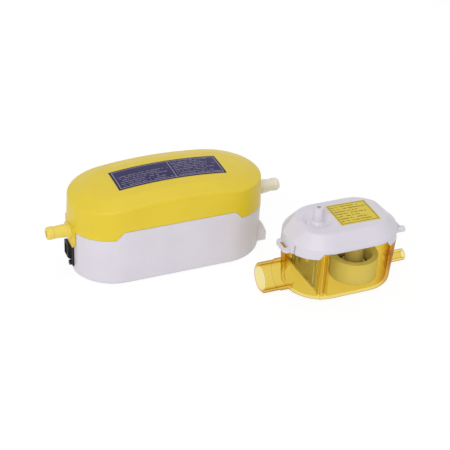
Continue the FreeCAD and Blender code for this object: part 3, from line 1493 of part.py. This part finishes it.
def basket_underside(inset):
    """Region below the basket's slanted floor, seen from the front."""
    fall = (S.basket_low_left - S.basket_low_right) / (S.basket_right - S.basket_left)
    left, right = S.basket_left - S.tank_wall, S.basket_right + S.tank_wall
    low = S.basket_low_right + inset * 1.5
    deep = -BASKET_TOP
    return [
        (left, deep),
        (right, deep),
        (right, low - fall * S.tank_wall),
        (left, low + fall * (S.basket_right - left)),
    ]


def wedge(label, inset, mouth, top, kept):
    """Solid wedge of the basket's plan with its slanted floor, inset on all sides but the mouth."""
    piece = Piece(label, in_tank=True, kept=kept)
    plan = basket_plan(Outline(piece, "XY_Plane", height=S.basket_low_right), inset, mouth)
    piece.pad(plan, top - S.basket_low_right)
    piece.pocket(Outline(piece, "XZ_Plane").polygon(basket_underside(inset)))
    return piece


def filter_basket():
    """Basket open at the top and towards the inlet, with the fine mesh that lines it."""
    basket = wedge("filter_basket", as_size(0), as_size(0), BASKET_TOP, True)
    hollow = wedge("basket_hollow", S.basket_wall, S.basket_rim, BASKET_TOP + 1, False)
    basket.subtract(hollow)
    rim = S.basket_rim
    left, right = S.basket_left + rim, S.basket_right - rim
    fall = (S.basket_low_left - S.basket_low_right) / (S.basket_right - S.basket_left)
    low = S.basket_low_right + rim * 1.5
    window = Outline(basket, "XZ_Plane")
    window.polygon([
        (left, low + fall * (S.basket_right - left)),
        (right, low + fall * (S.basket_right - right)),
        (right, BASKET_TOP - rim),
        (left, BASKET_TOP - rim),
    ])
    basket.pocket(window)
    floor = Outline(basket, "XY_Plane")
    half = S.basket_left_half_width - rim
    floor.rectangle(left, right, -half, half)
    basket.pocket(floor, BASKET_TOP, up=True)
    face = Outline(basket, "YZ_Plane")
    face.rectangle(-half, half, S.basket_low_left + rim, BASKET_TOP - rim)
    basket.pocket(face)
    mesh = wedge("filter_mesh", S.basket_wall, as_size(0), BASKET_TOP - rim / 2, True)
    mesh.subtract(wedge("mesh_hollow", S.basket_wall + S.mesh_thickness, rim, BASKET_TOP + 1, False))


def check_document():
    """Stop if any object failed or any sub-part has no sound shape."""
    DOCUMENT.recompute()
    for item in DOCUMENT.Objects:
        if "Invalid" in item.State or "Error" in item.State:
            raise ValueError("%s is %s" % (item.Label, item.State))
    for node in NODES:
        if node.Shape.isNull() or not node.Shape.isValid() or not node.Shape.Solids:
            raise ValueError("%s has no valid solid" % node.Label)


def build():
    base_casing()
    top_cover()
    cover_screws()
    inlet_fitting()
    coil_assembly()
    suction_cap()
    outlet_head()
    piston()
    valves()
    springs()
    suction_hose()
    circuit_board()
    board_parts()
    connectors()
    crowned_label("rating_label", -S.rating_left, S.rating_right, S.rating_half_width,
                  TOP_HEIGHT, S.top_arch_radius, S.top_crown_radius)
    tank()
    tank_lid()
    lid_seal()
    crowned_label("lid_label", S.lid_label_left, S.lid_label_right, S.lid_label_half_width,
                  LID_TOP_HEIGHT, S.lid_arch_radius, S.lid_crown_radius, in_tank=True)
    float_ring()
    level_sensor()
    filter_basket()


build()
check_document()
os.makedirs("parts", exist_ok=True)
for node in NODES:
    node.Shape.exportStep("parts/%s.step" % node.Label)
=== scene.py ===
"""Studio scene for the condensate pump set: a pump in a rounded casing and its float reservoir."""

import json
import math

import bpy
from mathutils import Matrix, Vector

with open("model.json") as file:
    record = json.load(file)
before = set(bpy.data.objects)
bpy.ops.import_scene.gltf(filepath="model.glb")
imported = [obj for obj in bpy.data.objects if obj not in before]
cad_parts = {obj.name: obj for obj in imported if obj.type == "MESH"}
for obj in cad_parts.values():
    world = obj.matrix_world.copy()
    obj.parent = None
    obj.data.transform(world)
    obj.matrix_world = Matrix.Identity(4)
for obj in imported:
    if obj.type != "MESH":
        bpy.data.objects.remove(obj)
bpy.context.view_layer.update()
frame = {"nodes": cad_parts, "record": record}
NODES = frame["nodes"]

# Lengths are in metres, angles in degrees, and colours are written as sRGB values of 0 to 255.

# The reservoir's own centre in the set's frame
TANK_X, TANK_Y = 0.071, -0.0487

# Range that a noise pattern fills, and the narrower range that gives it clearer patches
NOISE_RANGE = (0.3, 0.7)
CLEAR_RANGE = (0.35, 0.65)
NOISE_ROUGHNESS = 0.55
BEVEL_SAMPLES = 6
COAT_ROUGHNESS = 0.12
PLAIN_SPECULAR = 0.5

# How far short of the column's end each printed line stops, in turn
RAGGED_ENDS = (0.0, 0.0032, 0.0064, 0.0016, 0.0048)

# Soft boxes: place, aim, side and power in watts
LIGHTS = {
    "key": ((-0.55, -0.75, 0.60), (0.02, -0.02, 0.02), 0.7, 4.2),
    "top": ((0.1, 0.1, 1.1), (0.02, -0.02, 0.0), 0.9, 1.6),
}
FILL_STRENGTH = 0.55
SEEN_STRENGTH = 1.0

FLOOR_REACH = 3.0
FLOOR_LEVEL = -0.0002
FLOOR_GLOW = 1.05
FLOOR_GLOW_SHARE = 0.85

# Camera: its angles to the set, focal length and picture side in pixels, distance to the pump's
# centre along its axis, and the point of the picture where that centre falls
TURN, TILT, ROLL = 23.92, 32.65, 2.74
FOCAL, PICTURE = 1300.0, 450.0
DISTANCE = 0.650
PUMP_POINT = (164.19, 249.76)
SENSOR = 36.0


def linear(*srgb):
    """Scene-linear colour from sRGB values."""
    return tuple(((v / 255 + 0.055) / 1.055) ** 2.4 if v > 10 else v / 255 / 12.92 for v in srgb)


def shaded(colour, share):
    """The colour at this share of its brightness."""
    return tuple(c * share for c in colour)


def fill(node, values):
    """Set plain values of a node's inputs; an underscore in a name stands for a space."""
    for name, value in values.items():
        node.inputs[name.replace("_", " ")].default_value = value


def add_node(tree, kind, **values):
    node = tree.nodes.new(kind)
    fill(node, values)
    return node


def blend_shaders(tree, share, first, second):
    """Output of a mix of two shader nodes, in which the second one counts by this share."""
    node = add_node(tree, "ShaderNodeMixShader")
    tree.links.new(share, node.inputs["Fac"])
    tree.links.new(first.outputs[0], node.inputs[1])
    tree.links.new(second.outputs[0], node.inputs[2])
    return node.outputs[0]


class Material:
    """A node material under construction: the shader, and short ways to add nodes to it."""

    def __init__(self, name):
        self.data = bpy.data.materials.new(name)
        self.data.use_nodes = True
        self.tree = self.data.node_tree
        self.tree.nodes.clear()
        self.output = self.add("ShaderNodeOutputMaterial")
        self.shader = self.add("ShaderNodeBsdfPrincipled")
        self.link(self.shader.outputs[0], self.output.inputs["Surface"])
        self.place = self.add("ShaderNodeTexCoord").outputs["Object"]

    def add(self, kind, **values):
        return add_node(self.tree, kind, **values)

    def link(self, source, target):
        self.tree.links.new(source, target)

    def set(self, **values):
        fill(self.shader, values)

    def noise(self, scale, detail=4.0, place=None):
        node = self.add("ShaderNodeTexNoise", Scale=scale, Detail=detail, Roughness=NOISE_ROUGHNESS)
        self.link(place or self.place, node.inputs["Vector"])
        return node.outputs["Fac"]

    def remap(self, value, span, out=(0.0, 1.0)):
        """Stretch a span of values onto another one, held at its ends."""
        node = self.add("ShaderNodeMapRange", From_Min=span[0], From_Max=span[1],
                        To_Min=out[0], To_Max=out[1])
        self.link(value, node.inputs["Value"])
        return node.outputs["Result"]

    def patches(self, scale, detail=4.0, span=NOISE_RANGE):
        """Soft patches with values from 0 to 1."""
        return self.remap(self.noise(scale, detail), span)

    def math(self, operation, first, second=0.0):
        node = self.add("ShaderNodeMath")
        node.operation = operation
        for socket, value in zip(node.inputs, (first, second)):
            if isinstance(value, (int, float)):
                socket.default_value = value
            else:
                self.link(value, socket)
        return node.outputs[0]

    def mix(self, factor, first, second):
        """Colour between first and second; each is a colour or a socket."""
        node = self.add("ShaderNodeMix")
        node.data_type = "RGBA"
        self.link(factor, node.inputs["Factor"])
        for socket, value in ((node.inputs[6], first), (node.inputs[7], second)):
            if isinstance(value, tuple):
                socket.default_value = (*value, 1.0)
            else:
                self.link(value, socket)
        return node.outputs[2]

    def axes(self):
        node = self.add("ShaderNodeSeparateXYZ")
        self.link(self.place, node.inputs[0])
        return node.outputs["X"], node.outputs["Y"], node.outputs["Z"]

    def between(self, value, low, high):
        """1 where value lies between low and high, else 0."""
        above = self.math("GREATER_THAN", value, low)
        below = self.math("LESS_THAN", value, high)
        return self.math("MULTIPLY", above, below)

    def paint(self, factor, first, second):
        """Colour the surface between first and second."""
        self.link(self.mix(factor, first, second), self.shader.inputs["Base Color"])

    def roughen(self, pattern, smooth, rough):
        """Let the roughness follow a noise pattern from smooth to rough."""
        self.link(self.remap(pattern, NOISE_RANGE, (smooth, rough)), self.shader.inputs["Roughness"])

    def relief(self, height, depth, strength, edge=0.0):
        """Fine relief; with an edge radius, sharp edges look rounded by it."""
        bump = self.add("ShaderNodeBump", Distance=depth, Strength=strength)
        self.link(height, bump.inputs["Height"])
        self.link(bump.outputs["Normal"], self.shader.inputs["Normal"])
        if edge:
            bevel = self.add("ShaderNodeBevel", Radius=edge)
            bevel.samples = BEVEL_SAMPLES
            self.link(bevel.outputs["Normal"], bump.inputs["Normal"])


def moulded(name, colour, roughness=0.38, grain=2600.0, depth=0.00002, mottle=0.04, edge=0.0004,
            coat=0.0, specular=PLAIN_SPECULAR):
    """Moulded plastic: fine spark texture, faint flow mottling and rounded edges."""
    flow_scale, wear_scale, wear = 55.0, 180.0, 0.05
    m = Material(name)
    flow = m.patches(flow_scale, detail=3.0, span=CLEAR_RANGE)
    m.paint(flow, shaded(colour, 1 - mottle), colour)
    m.roughen(m.noise(wear_scale), roughness - wear, roughness + wear)
    m.relief(m.noise(grain, detail=2.0), depth, strength=0.5, edge=edge)
    m.set(Coat_Weight=coat, Coat_Roughness=COAT_ROUGHNESS, Specular_IOR_Level=specular)
    return m


def metal(name, colour, roughness, brushed=(1.0, 1.0, 1.0)):
    """Metal with fine brush lines; brushed stretches the pattern along each axis."""
    brush_scale, cloud_scale, cloud_shade = 2200.0, 140.0, 0.86
    smoother, rougher = 0.08, 0.1
    m = Material(name)
    mapping = m.add("ShaderNodeMapping", Scale=brushed)
    m.link(m.place, mapping.inputs["Vector"])
    streaks = m.noise(brush_scale, detail=3.0, place=mapping.outputs["Vector"])
    m.paint(m.patches(cloud_scale), shaded(colour, cloud_shade), colour)
    m.roughen(streaks, roughness - smoother, roughness + rougher)
    m.set(Metallic=1.0)
    m.relief(streaks, depth=0.00001, strength=0.6, edge=0.0002)
    return m


def absorb(m, kept, density):
    """Colour light by the length of its way through the material; kept is the share left unabsorbed."""
    depth = m.add("ShaderNodeVolumeAbsorption", Color=(*kept, 1.0), Density=density)
    m.link(depth.outputs[0], m.output.inputs["Volume"])


def see_through(name, colour, edge, shadow, roughness=0.06, gloss=0.10, body=0.12):
    """Thin clear plastic: tinted light passes through, deeper in tint where a wall is seen edge-on.

    A share of the wall, body, is slightly cloudy, its skin is glossy, and light falling through it
    onto what is inside takes the shadow tint.
    """
    cloud_scale, dark_cloud, pale_cloud = 70.0, 0.7, 0.8
    wear_scale, smoother, rougher, ripple_scale = 240.0, 0.03, 0.04, 120.0
    facing_blend, tint_span, rim_span, rim_gain = 0.35, (0.3, 0.9), (0.45, 0.95), 5
    m = Material(name)
    clouds = m.patches(cloud_scale, detail=3.0, span=CLEAR_RANGE)
    m.paint(clouds, shaded(edge, dark_cloud), shaded(edge, pale_cloud))
    m.roughen(m.noise(wear_scale), roughness - smoother, roughness + rougher)
    m.relief(m.noise(ripple_scale, detail=2.0), depth=0.00004, strength=0.35, edge=0.0004)
    edge_on = m.add("ShaderNodeLayerWeight", Blend=facing_blend).outputs["Facing"]
    rays = m.add("ShaderNodeLightPath").outputs
    lighting = m.math("MAXIMUM", rays["Is Shadow Ray"], rays["Is Diffuse Ray"])
    clear = m.add("ShaderNodeBsdfTransparent")
    seen = m.mix(m.remap(edge_on, tint_span), colour, edge)
    m.link(m.mix(lighting, seen, shadow), clear.inputs["Color"])
    rim = m.remap(edge_on, rim_span, (0.0, gloss * rim_gain))
    lit = m.math("SUBTRACT", 1.0, rays["Is Shadow Ray"])
    share = m.math("MULTIPLY", m.math("ADD", rim, body), lit)
    m.link(blend_shaders(m.tree, share, clear, m.shader), m.output.inputs["Surface"])
    return m


def printed_rows(m, along, across, column, rows, pitch, height):
    """Mask of short ruled lines in a column (left, right), stacked across it, with ragged ends."""
    left, right = column
    mask = None
    for step in range(rows):
        middle = (step - (rows - 1) / 2) * pitch
        line = m.between(across, middle - height / 2, middle + height / 2)
        reach = m.between(along, left, right - RAGGED_ENDS[step % len(RAGGED_ENDS)])
        spot = m.math("MULTIPLY", line, reach)
        mask = spot if mask is None else m.math("MAXIMUM", mask, spot)
    return mask


def dashed(m, rows, scale, start):
    """Break printed rows into dashes of uneven length."""
    return m.math("MULTIPLY", rows, m.math("GREATER_THAN", m.noise(scale, detail=1.0), start))


def border(m, along, across, box, width):
    """Mask of a thin frame just inside a box (left, right, half height)."""
    left, right, half = box
    inside = m.math("MULTIPLY", m.between(along, left, right), m.between(across, -half, half))
    core = m.math("MULTIPLY", m.between(along, left + width, right - width),
                  m.between(across, width - half, half - width))
    return m.math("SUBTRACT", inside, core)


def film_surface(m, roughness, specular=PLAIN_SPECULAR):
    """Smooth printed film with a very fine grain."""
    grain = 1500.0
    m.set(Roughness=roughness, Specular_IOR_Level=specular)
    m.relief(m.noise(grain, detail=2.0), depth=0.00001, strength=0.4)


def rating_label():
    """Dark violet-blue printed film: a darker margin, a pale frame and two columns of fine ruled lines."""
    film_box, margin_width = (-0.0263, 0.0284, 0.0085), 0.0009
    frame_box, frame_width = (-0.0252, 0.0273, 0.0076), 0.0003
    left_column, left_rows, left_drop = (-0.0238, 0.0018), 6, 0.0022
    right_column, right_rows = (0.0042, 0.0262), 9
    divider, divider_reach = (0.0028, 0.0031), 0.0075
    pitch, height = 0.0016, 0.0006
    cloud_scale, dash_scale, dash_start = 300.0, 900.0, 0.46
    text_share, frame_share = 0.32, 0.6
    m = Material("rating_label_film")
    x, y, _ = m.axes()
    film = m.mix(m.patches(cloud_scale), linear(28, 16, 76), linear(38, 26, 87))
    ground = m.mix(border(m, x, y, film_box, margin_width), film, linear(34, 26, 58))
    below = m.math("ADD", y, left_drop)
    rows = m.math("MAXIMUM", printed_rows(m, x, below, left_column, left_rows, pitch, height),
                  printed_rows(m, x, y, right_column, right_rows, pitch, height))
    text = dashed(m, rows, dash_scale, dash_start)
    rule = m.math("MULTIPLY", m.between(x, *divider), m.between(y, -divider_reach, divider_reach))
    lines = m.math("MAXIMUM", border(m, x, y, frame_box, frame_width), rule)
    pale = m.math("MAXIMUM", m.math("MULTIPLY", text, text_share), m.math("MULTIPLY", lines, frame_share))
    m.paint(pale, ground, linear(205, 200, 215))
    film_surface(m, roughness=0.42, specular=0.25)
    return m


def lid_label():
    """Yellow film with a dark frame and ruled lines."""
    frame_box, frame_width = (-0.0036, 0.0162, 0.0083), 0.00045
    column, rows, pitch, height = (-0.0028, 0.0150), 7, 0.0021, 0.0007
    cloud_scale, dash_scale, dash_start, ink_share = 260.0, 1000.0, 0.45, 0.85
    m = Material("lid_label_film")
    x, y, _ = m.axes()
    x = m.math("SUBTRACT", x, TANK_X)
    y = m.math("SUBTRACT", y, TANK_Y)
    ground = m.mix(m.patches(cloud_scale), linear(224, 197, 42), linear(232, 207, 56))
    text = dashed(m, printed_rows(m, x, y, column, rows, pitch, height), dash_scale, dash_start)
    lines = border(m, x, y, frame_box, frame_width)
    dark = m.math("MAXIMUM", m.math("MULTIPLY", text, ink_share), m.math("MULTIPLY", lines, ink_share))
    m.paint(dark, ground, linear(84, 74, 40))
    film_surface(m, roughness=0.45)
    return m


def winding():
    """Enamelled wire wound in close turns round the coil's axis, with painted shade and highlight on each
    turn.
    """
    wire_pitch = 0.0004
    m = Material("copper_wire")
    x, _, _ = m.axes()
    turns = m.math("SINE", m.math("MULTIPLY", x, 2 * math.pi / wire_pitch))
    # Painted shade in the grooves between turns (dark copper) and painted highlight on each turn's crest
    # (light copper)
    m.paint(m.remap(turns, (-1.0, 1.0)), linear(120, 58, 26), linear(206, 116, 62))
    m.set(Metallic=0.7, Roughness=0.35)
    m.relief(turns, depth=0.0001, strength=0.7)
    return m


def board():
    """Green laminate with copper tracks under the mask and pale pads."""
    track_scale, track_width, pad_scale, pad_radius = 220.0, 0.03, 330.0, 0.12
    m = Material("board_green")
    brick = m.add("ShaderNodeTexBrick", Scale=track_scale, Mortar_Size=track_width)
    m.link(m.place, brick.inputs["Vector"])
    tracks = m.math("GREATER_THAN", brick.outputs["Fac"], 0.5)
    ground = m.mix(tracks, linear(26, 92, 52), linear(52, 128, 72))
    pads = m.add("ShaderNodeTexVoronoi", Scale=pad_scale)
    m.link(m.place, pads.inputs["Vector"])
    solder = m.math("LESS_THAN", pads.outputs["Distance"], pad_radius)
    m.paint(solder, ground, linear(190, 190, 186))
    m.set(Roughness=0.35)
    m.relief(tracks, depth=0.00003, strength=0.6)
    return m


def mesh_cloth():
    """Fine woven filter mesh, open between its threads."""
    thread_pitch, thread_start, cloud_scale = 0.0008, 0.92, 900.0
    open_alpha, thread_alpha = 0.05, 0.4
    m = Material("mesh_cloth")
    x, y, z = m.axes()
    across = m.math("ADD", x, y)
    first = m.math("ABSOLUTE", m.math("SINE", m.math("MULTIPLY", across, math.pi / thread_pitch)))
    second = m.math("ABSOLUTE", m.math("SINE", m.math("MULTIPLY", z, math.pi / thread_pitch)))
    thread = m.math("MAXIMUM", first, second)
    solid = m.math("GREATER_THAN", thread, thread_start)
    m.paint(m.patches(cloud_scale), linear(226, 224, 212), linear(248, 246, 236))
    m.link(m.remap(solid, (0.0, 1.0), (open_alpha, thread_alpha)), m.shader.inputs["Alpha"])
    m.set(Roughness=0.7)
    m.relief(thread, depth=0.0001, strength=0.6)
    return m


RUBBER = {"roughness": 0.62, "grain": 1800.0, "depth": 0.00003, "mottle": 0.2, "edge": 0.0003,
          "specular": 0.3}

PLASTICS = {
    "white_plastic": {"colour": linear(227, 222, 232), "coat": 0.08},
    "yellow_plastic": {"colour": linear(236, 208, 42), "roughness": 0.4, "coat": 0.05},
    "yellow_fitting": {"colour": linear(243, 219, 92), "roughness": 0.3},
    "natural_nylon": {"colour": linear(240, 235, 218), "roughness": 0.34},
    "black_plastic": {"colour": linear(17, 17, 19), "roughness": 0.45, "mottle": 0.2},
    "capacitor_blue": {"colour": linear(34, 46, 108), "roughness": 0.25},
    "filter_yellow": {"colour": linear(208, 178, 52), "roughness": 0.4},
    "float_plastic": {"colour": linear(252, 250, 240), "roughness": 0.5},
    "magnet_ferrite": {"colour": linear(48, 48, 50), "roughness": 0.5, "mottle": 0.2},
    "black_rubber": {"colour": linear(34, 34, 34), **RUBBER},
    "seal_rubber": {"colour": linear(52, 52, 54), **RUBBER},
}

METALS = {
    "zinc_steel": {"colour": linear(196, 198, 202), "roughness": 0.34},
    "tube_steel": {"colour": linear(204, 206, 210), "roughness": 0.24, "brushed": (0.05, 1.0, 1.0)},
    "mild_steel": {"colour": linear(150, 152, 156), "roughness": 0.4},
    "spring_steel": {"colour": linear(188, 190, 194), "roughness": 0.28},
    "contact_metal": {"colour": linear(206, 190, 140), "roughness": 0.3},
}

CLEAR_PLASTICS = {
    "clear_hose": {"colour": linear(240, 242, 240), "edge": linear(200, 204, 202),
                   "shadow": linear(240, 242, 240), "roughness": 0.15, "body": 0.3},
    "fuse_glass": {"colour": linear(240, 244, 243), "edge": linear(190, 204, 204),
                   "shadow": linear(240, 244, 243)},
    "amber_plastic": {"colour": linear(250, 244, 215), "edge": linear(206, 150, 50),
                      "shadow": linear(255, 255, 255), "gloss": 0.11, "body": 0.02},
    "thin_float_plastic": {"colour": linear(247, 246, 238), "edge": linear(226, 220, 196),
                           "shadow": linear(250, 250, 246), "roughness": 0.3, "body": 0.22},
}

AMBER_KEPT = (0.96, 0.85, 0.0)
AMBER_DENSITY = 180.0

# Nodes with walls so thin that light comes through, and their look
THIN_WALLED = {"filter_basket": "thin_float_plastic"}


def make_looks():
    """One look per material slot of the record, and one for thin walls of float plastic."""
    looks = {name: moulded(name, **values) for name, values in PLASTICS.items()}
    looks.update({name: metal(name, **values) for name, values in METALS.items()})
    looks.update({name: see_through(name, **values) for name, values in CLEAR_PLASTICS.items()})
    absorb(looks["amber_plastic"], AMBER_KEPT, AMBER_DENSITY)
    looks["label_film"] = rating_label()
    looks["lid_label_film"] = lid_label()
    looks["copper_wire"] = winding()
    looks["board_green"] = board()
    looks["mesh_cloth"] = mesh_cloth()
    return looks


def dress(looks):
    """Give each node of the set the look of its slot, or its own where its walls are thin."""
    for part in frame["record"]["subparts"]:
        node = NODES[part["node"]]
        look = THIN_WALLED.get(part["node"], part["material_slot"])
        node.data.materials.clear()
        node.data.materials.append(looks[look].data)


def backdrop_rays(tree):
    """1 for the rays that show the pale backdrop: seen directly, in a gloss or through glass."""
    rays = add_node(tree, "ShaderNodeLightPath").outputs
    total = rays["Is Camera Ray"]
    for name in ("Is Glossy Ray", "Is Transmission Ray"):
        node = add_node(tree, "ShaderNodeMath")
        node.operation = "MAXIMUM"
        tree.links.new(total, node.inputs[0])
        tree.links.new(rays[name], node.inputs[1])
        total = node.outputs[0]
    return total


def floor_material():
    """Pale matt floor that glows white, all but a share that keeps the set's shadow."""
    cloud_scale, grain = 14.0, 400.0
    m = Material("studio_floor")
    m.paint(m.patches(cloud_scale), linear(246, 246, 246), linear(250, 250, 250))
    m.set(Roughness=0.9, Specular_IOR_Level=0.1)
    m.relief(m.noise(grain), depth=0.00002, strength=0.3)
    glow = m.add("ShaderNodeEmission", Strength=FLOOR_GLOW)
    share = m.math("MULTIPLY", backdrop_rays(m.tree), FLOOR_GLOW_SHARE)
    m.link(blend_shaders(m.tree, share, m.shader, glow), m.output.inputs["Surface"])
    return m.data


def add_floor():
    sides = ((-1, -1), (1, -1), (1, 1), (-1, 1))
    corners = [(x * FLOOR_REACH, y * FLOOR_REACH, FLOOR_LEVEL) for x, y in sides]
    mesh = bpy.data.meshes.new("studio_floor")
    mesh.from_pydata(corners, [], [(0, 1, 2, 3)])
    mesh.materials.append(floor_material())
    floor = bpy.data.objects.new("studio_floor", mesh)
    bpy.context.scene.collection.objects.link(floor)


def add_light(name, place, aim, side, power):
    """A square soft box that looks from place to aim."""
    data = bpy.data.lights.new(name, "AREA")
    data.shape = "SQUARE"
    data.size = side
    data.energy = power
    light = bpy.data.objects.new(name, data)
    bpy.context.scene.collection.objects.link(light)
    light.location = place
    light.rotation_euler = (Vector(aim) - Vector(place)).to_track_quat("-Z", "Y").to_euler()


def add_world():
    """Soft even light on the set, before surroundings that are seen as white."""
    white = (1.0, 1.0, 1.0, 1.0)
    world = bpy.data.worlds.new("studio")
    bpy.context.scene.world = world
    world.use_nodes = True
    tree = world.node_tree
    tree.nodes.clear()
    output = add_node(tree, "ShaderNodeOutputWorld")
    soft = add_node(tree, "ShaderNodeBackground", Color=white, Strength=FILL_STRENGTH)
    seen = add_node(tree, "ShaderNodeBackground", Color=white, Strength=SEEN_STRENGTH)
    tree.links.new(blend_shaders(tree, backdrop_rays(tree), soft, seen), output.inputs["Surface"])


def camera_axes():
    """The camera's right, up and backward directions: turned about the set, tilted down and rolled."""
    turn, tilt, roll = math.radians(TURN), math.radians(TILT), math.radians(ROLL)
    right = Vector((1, 0, 0))
    ahead = Vector((0, math.cos(tilt), -math.sin(tilt)))
    up = right.cross(ahead)
    rolled_right = right * math.cos(roll) + up * math.sin(roll)
    rolled_up = up * math.cos(roll) - right * math.sin(roll)
    spin = Matrix.Rotation(-turn, 3, "Z")
    return spin @ rolled_right, spin @ rolled_up, spin @ -ahead


def add_camera():
    """Place the camera so that the pump's centre falls on its point of the picture."""
    x_axis, y_axis, z_axis = camera_axes()
    middle = PICTURE / 2
    across, down = PUMP_POINT
    offset = Vector(((across - middle) / FOCAL, (middle - down) / FOCAL, 1.0)) * DISTANCE
    centre = -(x_axis * offset.x + y_axis * offset.y - z_axis * offset.z)
    data = bpy.data.cameras.new("camera")
    data.sensor_width = SENSOR
    data.lens = FOCAL / PICTURE * SENSOR
    camera = bpy.data.objects.new("camera", data)
    bpy.context.scene.collection.objects.link(camera)
    rotation = Matrix((x_axis, y_axis, z_axis)).transposed()
    camera.matrix_world = Matrix.Translation(centre) @ rotation.to_4x4()
    bpy.context.scene.camera = camera


def main():
    bpy.context.scene.view_settings.view_transform = "Standard"
    dress(make_looks())
    add_floor()
    add_world()
    for name, values in LIGHTS.items():
        add_light(name, *values)
    add_camera()


main()
